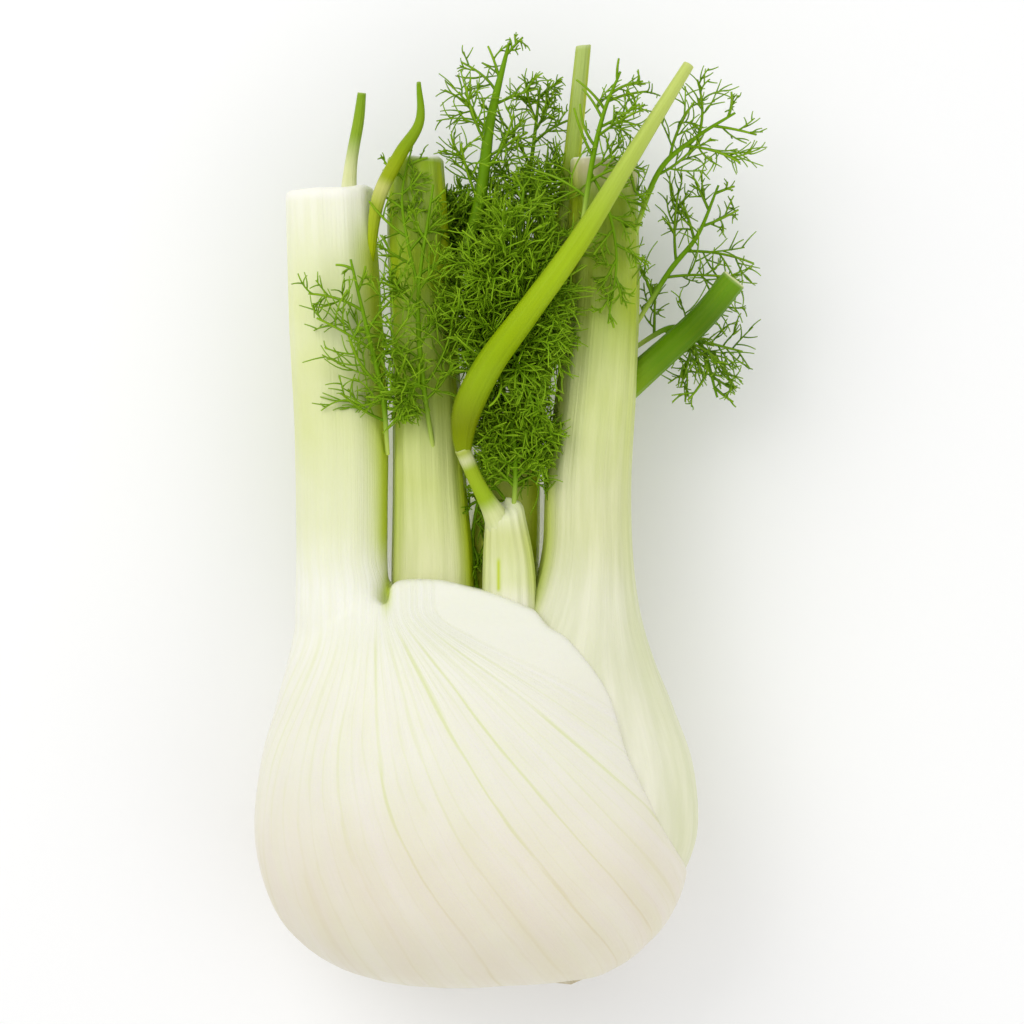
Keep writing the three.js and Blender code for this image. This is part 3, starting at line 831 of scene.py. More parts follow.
STALKS = {
    "leaf_right": {
        "stations": RIGHT_LEAF,
        "stops": [(-43, colour(232, 226, 206)), (0, CREAM), (36, colour(228, 228, 200)), (60, colour(218, 220, 170)),
                  (88, colour(210, 218, 142)), (112, colour(164, 184, 46)), (134, colour(136, 160, 10)), (144, colour(200, 190, 140))],
        "tone_and_shade": (0.2, 0.75),
        "rows": 170,
        "columns": 132,
    },
    "stalk_mid_left": {
        "stations": STALK_MID_LEFT,
        "stops": [(20, CREAM), (44, colour(219, 221, 168)), (70, colour(206, 214, 132)), (92, colour(180, 200, 70)),
                  (112, colour(164, 190, 10)), (145, colour(146, 176, 4))],
        "tone_and_shade": (1.1, 0.5),
        "rows": 130,
        "columns": 84,
    },
    "stalk_middle": {
        "stations": STALK_MIDDLE,
        "stops": [(20, CREAM), (37, CREAM), (45, colour(222, 226, 172)), (54, colour(216, 220, 156)),
                  (62, colour(240, 242, 206))],
        "slit_shade": (5.0, 41, 50),
        "tone_and_shade": (0.6, 0.3),
        "end": "grown",
        "rows": 90,
        "columns": 150,
    },
    "stalk_back": {
        "stations": STALK_BACK,
        "stops": [(20, colour(186, 196, 30)), (60, colour(196, 208, 60)), (90, colour(180, 202, 50)), (140, colour(160, 184, 46)),
                  (172, colour(180, 200, 104))],
        "tone_and_shade": (0.95, 0.5),
        "rows": 150,
        "columns": 40,
    },
}
print("stalks to loft:", ", ".join(STALKS))

# %% Loft the stalks
RIB_HEIGHT = 0.25
CUT_SHOWS = [0.2, 0.5, 0.9, 1, 1, 1]
SLIT_WIDTH = 0.45


def stalk_mesh(name, stations, rows, columns, tone_and_shade, grown_shut, slit_shade):
    body = loft(stations, rows, columns, ribs=14, rib_height=RIB_HEIGHT)
    around = 2 * math.pi * np.arange(columns) / columns
    whole = end_piece(body, GROWN_RINGS if grown_shut else CUT_RINGS)
    points, faces = close_ends(whole)
    turned = np.minimum(around, 2 * math.pi - around)
    wide = (np.array(stations[-1]["right"]) - np.array(stations[-1]["left"]))[0] / 2
    rings = len(whole)
    across = np.tile(turned * wide, rings)
    cut = np.repeat(np.r_[np.zeros(rows - 1), CUT_SHOWS], columns) * (not grown_shut)
    along = whole[..., 1].ravel()
    right_share, left_share = tone_and_shade
    # Painted shade: a deeper olive along the stalk's right and left edges, where they turn away from the light
    edge = right_share * (1 - smooth_step(turned, 0.35, 1.1)) + left_share * smooth_step(turned, 2.2, 2.8)
    start, top = stations[0]["left"][1], stations[-1]["left"][1]
    rising = smooth_step(along, start + 6, start + 26) * (1 - 0.5 * smooth_step(along, top - 10, top))
    edge = np.tile(edge, rings) * rising
    # Painted shade: a thin dark line down the front of a split stalk, with no split in the mesh
    if slit_shade:
        place, low, high = slit_shade
        inside = smooth_step(along, low, low + 1) * (1 - smooth_step(along, high - 2, high))
        on_front = whole[..., 2].ravel() > stations[0]["mid"]
        edge += on_front * inside * np.exp(-(((whole[..., 0].ravel() - place) / SLIT_WIDTH) ** 2))
    values = {
        ACROSS: np.r_[across, 0, 0],
        ALONG: np.r_[along, start, top],
        CUT: np.r_[cut, 0, not grown_shut],
        TONE_AND_SHADE: np.r_[edge, 0, 0],
    }
    return make_mesh(name, points, faces, values)


for node, row in STALKS.items():
    mesh = stalk_mesh(node, row["stations"], row["rows"], row["columns"], row["tone_and_shade"], row.get("end") == "grown",
                      row.get("slit_shade"))
    skin = plant_skin(node + "_skin", row["stops"], OLIVE, EDGE_SHADE_GREEN, WHITE_FLESH, fibres=0.8, streak_share=0.18, ridge=0.1, paler_share=0.1)
    place_piece(mesh, node, skin)
    print(node, made_triangles[node], "triangles")

# %% [markdown]
# ## Leaf stems
#
# The stems that carried the large leaves are round, finely ribbed and cut short. Each is a tube around a smooth line.
# The tube's rings are turned by one fixed direction, so the ribs run straight along the stem.

# %% Sweep the stems
STEMS = {
    "stem_left_top": {
        "path": [(-31.4, 130, 37), (-30.5, 143, 37), (-28.6, 154, 37.5), (-27.8, 160.6, 38)],
        "radii": [2.4, 1.5, 1.3, 1.0],
        "stops": [(0, WHITE_FLESH), (9, PALE_GREEN), (18, colour(136, 168, 36)), (32, colour(126, 164, 30))],
    },
    "stem_left_fork": {
        "path": [(-25.8, 118.5, 39.8), (-23.8, 134, 45), (-18.5, 145, 46), (-13.8, 153, 46), (-14, 162.5, 45)],
        "radii": [0.7, 1.6, 1.6, 1.1, 0.5],
        "stops": [(0, EDGE_SHADE_GREEN), (10, colour(170, 186, 40)), (15, colour(200, 202, 112)), (18, colour(150, 168, 10)),
                  (30, colour(128, 158, 8)), (46, colour(118, 158, 10))],
    },
    "stem_long": {
        "path": [(-3.2, 73.4, 50), (-3.4, 78.5, 51), (-2, 85.5, 52.7), (3.2, 95.5, 55.1), (12.5, 108, 58), (24, 124, 57),
                 (37, 145, 54), (50, 166, 51)],
        "radii": [1.6, 2.6, 3.4, 3.3, 2.9, 2.5, 1.9, 1.3],
        "stops": [(0, colour(190, 202, 110)), (3, colour(130, 148, 0)), (22, colour(122, 138, 0)), (44, colour(144, 172, 0)),
                  (74, colour(160, 188, 20)), (110, colour(200, 214, 116))],
    },
    "stem_fork": {
        "path": [(6.6, 54, 42.6), (3.6, 60.5, 45.6), (0, 67, 48.8), (-3.5, 75, 50.6)],
        "radii": [4, 2.5, 1.75, 1.8],
        "stops": [(0, colour(230, 234, 196)), (8, colour(218, 224, 160)), (13, colour(156, 184, 30)),
                  (20, colour(156, 180, 30)), (22.4, colour(208, 212, 156)), (24.5, colour(170, 184, 70))],
    },
    "stem_right_low": {
        "path": [(33, 88, 33), (46, 99.5, 35), (54, 107, 37), (61.3, 115.8, 38.5)],
        "radii": [3.6, 3.2, 3.1, 3.0],
        "stops": [(0, colour(130, 164, 20)), (12, colour(88, 132, 0)), (26, colour(70, 112, 0)), (40, colour(100, 146, 6))],
    },
}
STEM_SIDES = 30
STEM_RIB = 0.035
UP = np.array([0.0, 0.0, 1.0])


def unit(vectors):
    return vectors / np.maximum(np.linalg.norm(vectors, axis=-1, keepdims=True), 1e-9)


def ring_axes(along):
    """Two directions across each of these directions along"""
    side = unit(np.cross(UP, along))
    return side, np.cross(along, side)


def stem_mesh(name, path, radii, per_millimetre=1.2):
    length = np.linalg.norm(np.diff(np.array(path, float), axis=0), axis=1).sum()
    rows = int(length * per_millimetre) + 8
    share = np.linspace(0, 1, rows)
    line = smooth_line(path, share)
    radius = smooth_line(radii, share)
    along = unit(np.gradient(line, axis=0))
    side, over = ring_axes(along)
    around = 2 * math.pi * np.arange(STEM_SIDES) / STEM_SIDES
    ribbed = radius * (1 + STEM_RIB * np.cos(10 * around)[None, :])
    ring = side[:, None] * np.cos(around)[None, :, None] + over[:, None] * np.sin(around)[None, :, None]
    whole = end_piece(line[:, None] + ring * ribbed[..., None])
    points, faces = close_ends(whole)
    rings = len(whole)
    turned = np.minimum(around, 2 * math.pi - around)
    distance = np.r_[share * length, np.full(rings - rows, length)]
    cut = np.r_[np.zeros(rows - 1), CUT_SHOWS]
    values = {
        ACROSS: np.r_[np.tile(turned * np.mean(radius), rings), 0, 0],
        ALONG: np.r_[np.repeat(distance, STEM_SIDES), 0, length],
        CUT: np.r_[np.repeat(cut, STEM_SIDES), 0, 1],
        TONE_AND_SHADE: np.zeros(len(points)),
    }
    return make_mesh(name, points, faces, values)


for node, row in STEMS.items():
    mesh = stem_mesh(node, row["path"], row["radii"])
    skin = plant_skin(node + "_skin", row["stops"], DARK_OLIVE, EDGE_SHADE_GREEN, PALE_GREEN, streak_share=0.2, ridge=0.1, paler_share=0.03, gloss=0.08)
    place_piece(mesh, node, skin)
    print(node, made_triangles[node], "triangles")

# %% [markdown]
# ## The root plate
#
# All leaf bases grow from a short woody disc. Its skin is brown and corky, with the scars of trimmed roots. A stem
# mesh gives the form, and noise along its surface roughens it.

# %% Build the root plate
ROOT_CENTRE = np.array([22.6, -46.6, 20.3])
ROOT_AIM = unit(np.array([0.3, -0.72, -0.62]))
ROOT_RADIUS = 10.5
ROOT_PROFILE = [(-9, 1), (-2, 1.0), (0, 0.99), (1.2, 0.94), (2.2, 0.84), (2.8, 0.68), (3.1, 0.5)]
BARK, DRY_BARK, ROOT_FLESH = colour(176, 156, 112), colour(126, 98, 58), colour(214, 200, 164)


def root_skin():
    stops = [(0, CREAM), (8, ROOT_FLESH), (10, BARK), (13, DRY_BARK)]
    skin = plant_skin("root_skin", stops, BARK, DRY_BARK, BARK, fibres=0.8, length=3.0, rough=0.7, ridge=0.5)
    tree = skin.node_tree
    shader = tree.nodes["Principled BSDF"]
    shader.inputs["Subsurface Weight"].default_value = 0.0
    place = add_node(tree, "ShaderNodeTexCoord").outputs["Object"]
    scars = add_node(tree, "ShaderNodeTexVoronoi", {"Vector": place, "Scale": 1 / (3.2 * MM)})
    spots = remap(tree, scars.outputs["Distance"], 0.12, 0.32, 1.0, 0.0)
    below = remap(tree, mesh_value(tree, ALONG), 8.5, 10)
    spots = shade_math(tree, "MULTIPLY", spots, below)
    darker = mix_colour(tree, spots, shader.inputs["Base Color"].links[0].from_socket, DRY_BARK)
    tree.links.new(darker, shader.inputs["Base Color"])
    return skin


root_path = [ROOT_CENTRE + ROOT_AIM * distance for distance, _ in ROOT_PROFILE]
root_mesh = stem_mesh("root_plate", root_path, [share * ROOT_RADIUS for _, share in ROOT_PROFILE], 3)
place_piece(root_mesh, "root_plate", root_skin())
print("root plate:", made_triangles["root_plate"], "triangles")

# %% [markdown]
# ## Feathery leaves
#
# A fennel leaf forks again and again until only threads are left. The solid model has each leaf's rib and its side
# leaves as flat combs. Here the same rib and the same side leaves carry finer ones: every side leaf forks into twigs,
# and every twig into threads, each bent a little its own way. One function grows all children of a level at once
# from arrays of their parents. The draws come from a seeded generator, so each run grows the same leaf.
#
# A leaf's fullness says how many side leaves lie between those of the solid model, how many twigs each of them has,
# and how many threads each twig has. A sprig is a small side shoot that follows a line of its own.

# %% Ribs and side leaves of the fronds
FRONDS = {
    "frond_left": {"path": [(-21.5, 74, 40.5), (-22.5, 88, 49), (-26, 103, 51), (-30, 120, 50.5)], "reach": 14.5,
                   "leaves": 9, "fullness": "sparse"},
    "frond_mid_left": {"path": [(-10, 72, 42), (-13, 92, 48.5), (-14, 112, 48.5), (-10.5, 138, 46.6)], "reach": 13.5,
                       "leaves": 8, "fullness": "airy",
                       "sprigs": [
                           {"fullness": "sprig", "path": [(-12.6, 89, 48), (-14.6, 90.5, 49.4), (-17, 88.5, 49), (-19, 82.5, 46)],
                            "reach": 7.5},
                           {"fullness": "sparse", "path": [(-13.6, 112, 48.4), (-16.5, 124, 47), (-18, 136, 44), (-15.5, 148, 42)],
                            "reach": 9.5}]},
    "frond_front": {"path": [(-1, 82, 51), (6, 98, 47), (9, 117, 47.5), (11, 137, 47)], "reach": 17, "leaves": 9,
                    "fullness": "dense", "loose": 26,
                    "sprigs": [{"fullness": "sprig", "path": [(7.6, 100, 47.5), (10.5, 93, 50.5), (13, 86, 50.5), (15.4, 78, 48.5)],
                              "reach": 6}]},
    "frond_low": {"path": [(8.3, 56, 43.4), (9, 72, 45), (7.5, 84, 44), (4, 97, 43)], "reach": 11, "leaves": 7,
                  "fullness": "dense",
                  "sprigs": [{"fullness": "sprig", "path": [(8.4, 61, 44), (2, 67, 38), (-1.2, 54, 34.5), (0.6, 37, 35.5)],
                            "reach": 6.6}]},
    "frond_top_left": {"path": [(-8, 108, 33), (0, 133, 37), (3, 154, 37), (7.5, 173, 35)], "reach": 16, "leaves": 8,
                       "fullness": "airy", "rib": (0.8, 1.5, 1.4, 1.0, 0.35),
                       "sprigs": [{"fullness": "dense", "path": [(-6.4, 115, 33.5), (-6, 122, 31), (-5.2, 130, 29), (-4, 139, 28)],
                                 "reach": 9}]},
    "frond_top_middle": {"path": [(16, 104, 29), (10, 128, 29), (13, 146, 29), (15, 163, 30)], "reach": 15,
                         "leaves": 8, "fullness": "crown"},
    "frond_behind": {"path": [(11, 76, 26), (12, 104, 19), (15, 126, 19), (17, 148, 20)], "reach": 17, "leaves": 8,
                     "fullness": "crown"},
    "frond_top_right": {"path": [(24, 122, 57), (27, 142, 48), (30, 155, 46), (34, 165, 45)], "reach": 13,
                        "leaves": 7, "fullness": "airy",
                        "sprigs": [{"fullness": "sparse", "path": [(26.8, 141, 48.4), (31, 132, 48.6), (33, 120, 48.2), (31, 105, 48)],
                                  "reach": 9}]},
    "frond_right_upper": {"path": [(36, 122, 40), (43, 141, 42), (52, 149.5, 42), (61.5, 155.5, 42)], "reach": 14,
                          "leaves": 7, "fullness": "sparse"},
    "frond_right": {"path": [(36, 102, 34), (46, 118, 32), (53, 127, 31), (58, 139, 32)], "reach": 15, "leaves": 8,
                    "fullness": "sparse"},
    "frond_right_low": {"path": [(35, 98, 32), (47, 105, 26), (54, 101, 25), (58, 88, 26)], "reach": 15,
                        "leaves": 7, "fullness": "airy"},
}
FULLNESS = {
    "sparse": (1, 6, 4, 0.6),
    "airy": (2, 6, 4, 0.6),
    "sprig": (2, 6, 3, 1.0),
    "dense": (9, 10, 6, 0.5),
    "crown": (9, 10, 6, 0.16),
}
SPRIG_LEAVES = 9
THINS_OVER, THINS_BY, LEAST_FULL = 0.42, 0.93, 0.7
FIRST_LEAF = 0.14
SIDE_ANGLE = 0.95
GOLDEN = 0.6180339887


def fraction(value):
    return value - math.floor(value)


def turned_about(vector, axis, angle):
    cos, sin = np.cos(angle)[..., None], np.sin(angle)[..., None]
    return vector * cos + np.cross(axis, vector) * sin + axis * (axis * vector).sum(-1, keepdims=True) * (1 - cos)


def side_leaves(path, reach, leaves, seed, between, thins_from):
    """Root, direction, side, length and fullness of each side leaf, with more between those of the solid model"""
    rows = []
    for number in np.arange(0, leaves - 0.01, 1 / between):
        own = number == int(number)
        side = 1 if (int(number) + (0 if own else round(number * between))) % 2 else -1
        chance = [fraction(GOLDEN * (number * 5 + channel) + 0.37 * seed) - 0.5 for channel in range(4)]
        place = FIRST_LEAF + (1 - FIRST_LEAF) * (number + 0.5) / leaves
        at, after = smooth_line(path, np.array([place, min(1, place + 0.01)]))
        if place >= 1:
            continue
        along = unit(after - at)
        away = unit(np.cross(along, UP)) * side
        length = reach * (0.35 + 0.65 * math.sin(math.pi * (0.25 + 0.7 * place))) * (1 + 0.5 * chance[0])
        length *= 1 - 0.35 * smooth_step(place, 0.72, 1)
        angle = SIDE_ANGLE - 0.35 * place + 0.4 * chance[1]
        lift = 0.45 if own else 1.3
        aim = unit(along * math.cos(angle) + away * math.sin(angle) + UP * lift * chance[2])
        normal = unit(np.cross(aim, along))
        across = turned_about(np.cross(normal, aim), aim, np.array(1.2 * chance[3]))
        full = 1 - THINS_BY * smooth_step(place, thins_from, thins_from + THINS_OVER)
        if not own and fraction(GOLDEN * 7 * number + seed * 0.5) > full:
            continue
        rows.append((at, aim, across, length if own else 0.92 * length, max(full, LEAST_FULL)))
    names = ("root", "aim", "side", "length", "fullness")
    return dict(zip(names, (np.array(column) for column in zip(*rows))))


print("fronds:", len(FRONDS), "with", sum(row["leaves"] for row in FRONDS.values()), "side leaves of the solid model")

# %% [markdown]
# ### Keeping threads out of the stalks
#
# Threads lie on the stalks but never inside them. Each stalk is close to an oval at any height, so a point inside
# that oval is pushed straight out to just above its surface. A thread deep inside one is left out, together with all
# that would grow from it. So is one that would cross in front of the stems, which lie on top of the heap.

# %% Helpers that keep threads clear
SKIN_GAP = 0.6
STEM_GAP = 0.5
OVALS = (LEFT_STALK, RIGHT_LEAF, STALK_MID_LEFT, STALK_MIDDLE)
CHECKED_SHARES = (0.15, 0.35, 0.55, 0.75, 1.0)
FARTHEST_RIGHT, LOWEST = 70.2, 0.8
DEEP_INSIDE = 0.8
TOP_OF_BACK_STALK = 5


def stem_line(path, radii):
    share = np.linspace(0, 1, 50)
    return smooth_line(path, share), smooth_line(radii, share)[:, 0]


back_top = STALK_BACK[TOP_OF_BACK_STALK:]
back_path = [((s["left"][0] + s["right"][0]) / 2, s["left"][1], s["mid"]) for s in back_top]
FRONT_LINES = [stem_line(row["path"], row["radii"]) for row in STEMS.values()]
FRONT_LINES.append(stem_line(back_path, [(s["right"][0] - s["left"][0]) / 2 for s in back_top]))


def points_on(group, share):
    """Points at these shares along every line of a group: lines by shares by 3"""
    length = group["length"][:, None, None]
    share = np.asarray(share)[..., None]
    return group["root"][:, None] + (group["aim"][:, None] * share + group["bend"][:, None] * share**2) * length


def lift_clear(lines):
    """Pushes the points of these lines out of the stalks"""
    points = lines.reshape(-1, 3).copy()
    for stations in OVALS:
        low, high = stations[0]["left"][1], stations[-1]["left"][1]
        near = (points[:, 1] > low) & (points[:, 1] < high)
        middle, half, height, front, back = cross_section(stations, points[near, 1])
        deep = np.where(points[near, 2] > height, front, back)
        x, z = (points[near, 0] - middle) / half, (points[near, 2] - height) / deep
        ratio = np.maximum((1 + SKIN_GAP / deep) / np.maximum(np.hypot(x, z), 0.05), 1)
        points[near, 0] = middle + x * ratio * half
        points[near, 2] = height + z * ratio * deep
    return points.reshape(lines.shape)


def only_in_the_open(group):
    """Leaves out the lines of a group that run deep inside a stalk or cross a stem on its upper side"""
    points = points_on(group, np.broadcast_to(CHECKED_SHARES, (len(group["length"]), len(CHECKED_SHARES))))
    fine = (points[..., 0].max(1) < FARTHEST_RIGHT) & (points[..., 2].min(1) > LOWEST)
    for stations in OVALS:
        low, high = stations[0]["left"][1], stations[-1]["left"][1]
        middle, half, height, front, back = cross_section(stations, points[..., 1])
        deep = np.where(points[..., 2] > height, front, back)
        from_middle = np.hypot((points[..., 0] - middle) / half, (points[..., 2] - height) / deep)
        beside = (points[..., 1] > low) & (points[..., 1] < high)
        fine &= ~(beside & (from_middle < DEEP_INSIDE)).any(1)
    for line, radius in FRONT_LINES:
        away = np.hypot(points[..., None, 0] - line[:, 0], points[..., None, 1] - line[:, 1]) - radius - STEM_GAP
        nearest = away.argmin(-1)
        covered = (away.min(-1) < 0) & (points[..., 2] > (line[:, 2] - radius - STEM_GAP)[nearest])
        fine &= ~covered.any(1)
    return {name: values[fine] for name, values in group.items()}


print("threads stay", SKIN_GAP, "mm clear of the stalks")

# %% [markdown]
# ### Forking into twigs and threads
#
# A fork takes every line of one level and sets children on it, left and right in turn, each with an angle, a length
# and a bend drawn for it. Lines near a leaf's tip get fewer children, so the leaf thins out towards its end.

# %% Grow twigs and threads
SHORTEST_TWIG, SHORTEST_THREAD = 2.0, 1.2
LEAF_BEND, TWIG_BEND, THREAD_BEND = 0.4, 0.6, 0.75
TWIGS = {"reach": 0.62, "angle": 0.85, "tilt": 0.9, "bend": TWIG_BEND, "shortest": SHORTEST_TWIG}
THREADS = {"reach": 0.85, "angle": 0.8, "tilt": 1.3, "bend": THREAD_BEND, "shortest": SHORTEST_THREAD}


def bend_all(group, draw, amount):
    """Gives each line of a group a gentle bend and a shade of its own"""
    random = draw.normal(size=group["aim"].shape)
    across = random - group["aim"] * (random * group["aim"]).sum(1, keepdims=True)
    group["bend"] = unit(across) * draw.uniform(0.3, 1, (len(across), 1)) * amount
    group["shade"] = draw.uniform(0, 1, len(across))
    return group


def fork(parents, number, draw, reach, angle, tilt, bend, shortest):
    """Grows a number of children left and right in turn along each line of a group"""
    count = len(parents["length"])
    share = 0.16 + 0.8 * (np.arange(number)[None, :] + draw.uniform(0.1, 0.9, (count, number))) / number
    hand = np.where(np.arange(number) % 2, 1.0, -1.0)[None, :, None]
    root = points_on(parents, share)
    along = unit(parents["aim"][:, None] + 2 * parents["bend"][:, None] * share[..., None])
    side = unit(parents["side"][:, None] - along * (parents["side"][:, None] * along).sum(-1, keepdims=True))
    side = turned_about(side * hand, along, draw.normal(0, tilt, (count, number)))
    open_angle = (angle * draw.uniform(0.65, 1.3, (count, number)))[..., None]
    aim = along * np.cos(open_angle) + side * np.sin(open_angle)
    length = parents["length"][:, None] * reach * (1 - 0.45 * share) * draw.uniform(0.7, 1.3, (count, number))
    full = np.broadcast_to(parents["fullness"][:, None], length.shape)
    keep = (length > shortest) & (draw.random(length.shape) < full)
    across = unit(np.cross(np.cross(aim, side), aim))
    grown = {"root": root[keep], "aim": aim[keep], "side": across[keep], "length": length[keep], "fullness": full[keep]}
    return only_in_the_open(bend_all(grown, draw, bend))


def tubes(group, radii, sides, steps):
    """One thin tapering tube for each line of a group: points, faces, share along the line and shade of the line"""
    share = np.linspace(0, 1, steps)
    lines = lift_clear(points_on(group, np.broadcast_to(share, (len(group["length"]), steps))))
    along = unit(np.gradient(lines, axis=1))
    steep = (np.abs(along[:, :1, 2:]) > 0.9).repeat(steps, 1)
    helper = np.where(steep, [1.0, 0.0, 0.0], UP)
    side = unit(np.cross(helper, along))
    over = np.cross(along, side)
    angle = 2 * math.pi * np.arange(sides) / sides
    ring = side[:, :, None] * np.cos(angle)[None, None, :, None] + over[:, :, None] * np.sin(angle)[None, None, :, None]
    radius = (radii[0] + (radii[1] - radii[0]) * share)[None, :, None, None]
    points = lines[:, :, None] + ring * radius
    count = len(points)
    every = tube_faces(steps, sides)[None] + (np.arange(count) * steps * sides)[:, None, None]
    tip = np.broadcast_to(share[None, :, None], (count, steps, sides))
    shade = np.repeat(group["shade"], steps * sides)
    return points.reshape(-1, 3), every.reshape(-1, 4), tip.ravel(), shade, np.zeros(len(shade))


print("a thread is never shorter than", SHORTEST_THREAD, "mm")

# %% [markdown]
# ### Fresh green threads
#
# A thread's green depends on three things. Each thread has a shade of its own, its tip is lighter than its foot, and
# those that lie low in the heap are painted darker than those high up, painted shade which makes the heap look deep.

# %% Finish and grow the fronds
PALE_RIB = colour(192, 210, 100)
DEEP_AND_SHADED_GREEN, FRESH_AND_LIT_GREEN, TIP = colour(66, 110, 0), colour(112, 156, 2), colour(168, 204, 40)
# Painted shade of the heap: full below the first height in mm, gone above the second
PAINTED_SHADE_BELOW, PAINTED_LIGHT_ABOVE = 14, 50
RIB_RADII, RIB_SIDES, RIB_STEPS = (0.5, 0.65, 0.6, 0.45, 0.28), 8, 30
SPRIG_RIB = (0.35, 0.4, 0.35, 0.3, 0.2)
PALE_FOOT = 0.3
LINE_FORMS = [((0.38, 0.26), 4, 8), ((0.31, 0.21), 3, 7), ((0.26, 0.16), 3, 6)]
LOOSE_FORM, LOOSE_LENGTH, LOOSE_BEND, SAG = ((0.36, 0.2), 4, 14), (11, 18), 0.6, 0.3
LOOSE_TWIGS = {"reach": 0.35, "angle": 0.7, "tilt": 0.6, "bend": TWIG_BEND, "shortest": SHORTEST_THREAD}


def frond_material():
    material = bpy.data.materials.new("thread_green")
    material.use_nodes = True
    tree = material.node_tree
    shader = tree.nodes["Principled BSDF"]
    mottle = add_node(tree, "ShaderNodeGroup", node_tree=MOTTLING)
    mottle.inputs["Patch size"].default_value = 9.0
    # The deep green takes the darker threads and the painted shade low in the heap
    share = shade_math(tree, "ADD", mesh_value(tree, TONE_AND_SHADE), shade_math(tree, "MULTIPLY", mottle.outputs["Patches"], 0.2))
    skin = mix_colour(tree, shade_math(tree, "MINIMUM", share, 1.0), DEEP_AND_SHADED_GREEN, FRESH_AND_LIT_GREEN)
    skin = mix_colour(tree, shade_math(tree, "MULTIPLY", mesh_value(tree, ALONG), 0.5), skin, TIP)
    skin = mix_colour(tree, mesh_value(tree, CUT), skin, PALE_RIB)
    tree.links.new(skin, shader.inputs["Base Color"])
    tree.links.new(remap(tree, mottle.outputs["Grain"], 0, 1, 0.5, 0.65), shader.inputs["Roughness"])
    shader.inputs["Specular IOR Level"].default_value = 0.14
    return material


def rib_tube(path, radii, pale):
    share = np.linspace(0, 1, RIB_STEPS)
    line = smooth_line(path, share)
    side, over = ring_axes(unit(np.gradient(line, axis=0)))
    around = 2 * math.pi * np.arange(RIB_SIDES) / RIB_SIDES
    radius = smooth_line(radii, share)[:, :, None]
    ring = side[:, None] * np.cos(around)[None, :, None] + over[:, None] * np.sin(around)[None, :, None]
    points = (line[:, None] + ring * radius).reshape(-1, 3)
    foot = pale * np.repeat(1 - smooth_step(share, 0.0, PALE_FOOT), RIB_SIDES)
    return points, tube_faces(RIB_STEPS, RIB_SIDES), np.zeros(len(points)), np.ones(len(points)), foot


def grown_leaf(path, reach, leaves, fullness, draw, seed, rib, pale=0.0):
    between, twigs, threads, thins_from = FULLNESS[fullness]
    first = bend_all(side_leaves(path, reach, leaves, seed, between, thins_from), draw, LEAF_BEND)
    second = fork(first, twigs, draw, **TWIGS)
    third = fork(second, threads, draw, **THREADS)
    return [rib_tube(path, rib, pale)] + [tubes(group, *form) for group, form in zip((first, second, third), LINE_FORMS)]


def loose_threads(path, count, draw):
    """A few long threads that rise from the rib, arch over the heap and sag again"""
    turn = draw.uniform(0, 2 * math.pi, count)
    aim = unit(np.column_stack([np.cos(turn), np.sin(turn), draw.uniform(0.6, 1.0, count)]))
    group = {
        "root": smooth_line(path, draw.uniform(0.15, 0.8, count)),
        "aim": aim,
        "side": unit(np.cross(aim, UP)),
        "length": draw.uniform(*LOOSE_LENGTH, count),
        "fullness": np.ones(count),
    }
    group = bend_all(group, draw, LOOSE_BEND)
    group["bend"] -= SAG * UP
    # Painted light: these threads lie on top of the heap, so they are painted at full brightness with lighter tips
    group["shade"] = np.ones(count)
    group = only_in_the_open(group)
    twigs = fork(group, 5, draw, **LOOSE_TWIGS)
    points, faces, tip, shade, foot = tubes(group, *LOOSE_FORM)
    return [(points, faces, 0.6 + 0.6 * tip, shade, foot), tubes(twigs, *LINE_FORMS[2])]


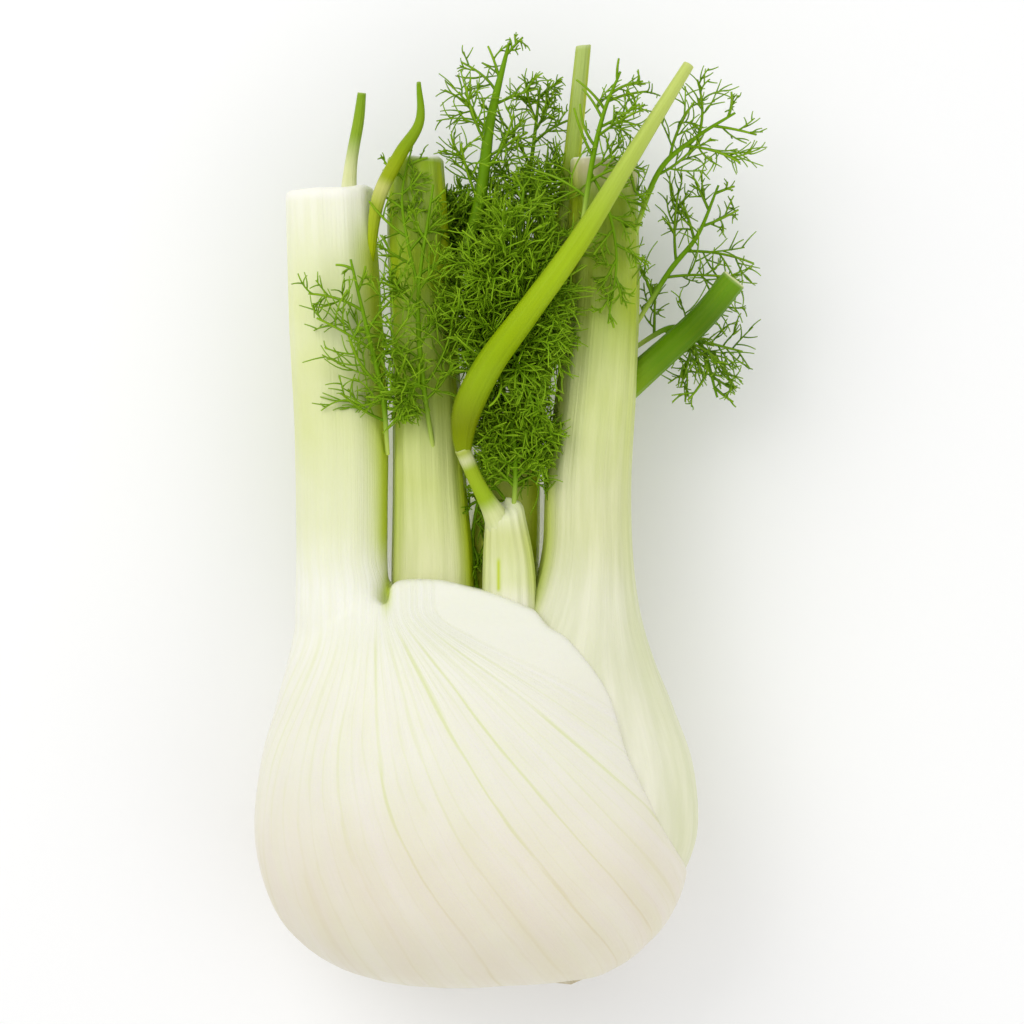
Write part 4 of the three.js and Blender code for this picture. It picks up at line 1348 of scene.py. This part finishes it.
def frond_mesh(name, path, reach, leaves, fullness, seed, sprigs=(), rib=RIB_RADII, loose=0):
    draw = np.random.default_rng(seed)
    rows = grown_leaf(path, reach, leaves, fullness, draw, seed, rib, pale=1.0)
    for sprig in sprigs:
        rows += grown_leaf(leaves=SPRIG_LEAVES, draw=draw, seed=seed, rib=SPRIG_RIB, **sprig)
    if loose:
        rows += loose_threads(path, loose, draw)
    starts = np.cumsum([0] + [len(row[0]) for row in rows])
    points = np.vstack([row[0] for row in rows])
    faces = np.vstack([row[1] + start for row, start in zip(rows, starts)])
    shade = np.concatenate([row[3] for row in rows])
    # Painted shade: threads low in the heap are darker and those high up lighter, mixed with each thread's own shade
    painted_light_by_height = smooth_step(points[:, 2], PAINTED_SHADE_BELOW, PAINTED_LIGHT_ABOVE)
    values = {
        ALONG: np.concatenate([row[2] for row in rows]),
        TONE_AND_SHADE: 0.45 * shade + 0.55 * painted_light_by_height,
        CUT: np.concatenate([row[4] for row in rows]),
    }
    return make_mesh(name, points, [faces], values)


thread_green = frond_material()
for seed, (node, row) in enumerate(FRONDS.items(), start=1):
    place_piece(frond_mesh(node, seed=seed, **row), node, thread_green)
    print(node, made_triangles[node], "triangles")

# %% [markdown]
# ## The table
#
# The bulb lies on a plain pale table. It is a flat sheet just below the flat spot under the bulb.

# %% Lay the table
table_mesh = bpy.data.meshes.new("table")
half_table = TABLE_SIZE / 2 * MM
corners = [(-half_table, -half_table, 0), (half_table, -half_table, 0), (half_table, half_table, 0), (-half_table, half_table, 0)]
table_mesh.from_pydata(corners, [], [(0, 1, 2, 3)])
table = bpy.data.objects.new("table", table_mesh)
scene.collection.objects.link(table)
pale = bpy.data.materials.new("pale_table")
pale.use_nodes = True
pale_shader = pale.node_tree.nodes["Principled BSDF"]
pale_shader.inputs["Base Color"].default_value = (0.96, 0.96, 0.96, 1)
pale_shader.inputs["Roughness"].default_value = 0.9
pale_shader.inputs["Specular IOR Level"].default_value = 0.1
table_mesh.materials.append(pale)
print("table", TABLE_SIZE, "mm wide")

# %% [markdown]
# ## Measure and finish
#
# The last line prints the triangles of all pieces together and the largest count of one piece.


print("triangles in all:", sum(made_triangles.values()), "largest:", max(made_triangles.values()))
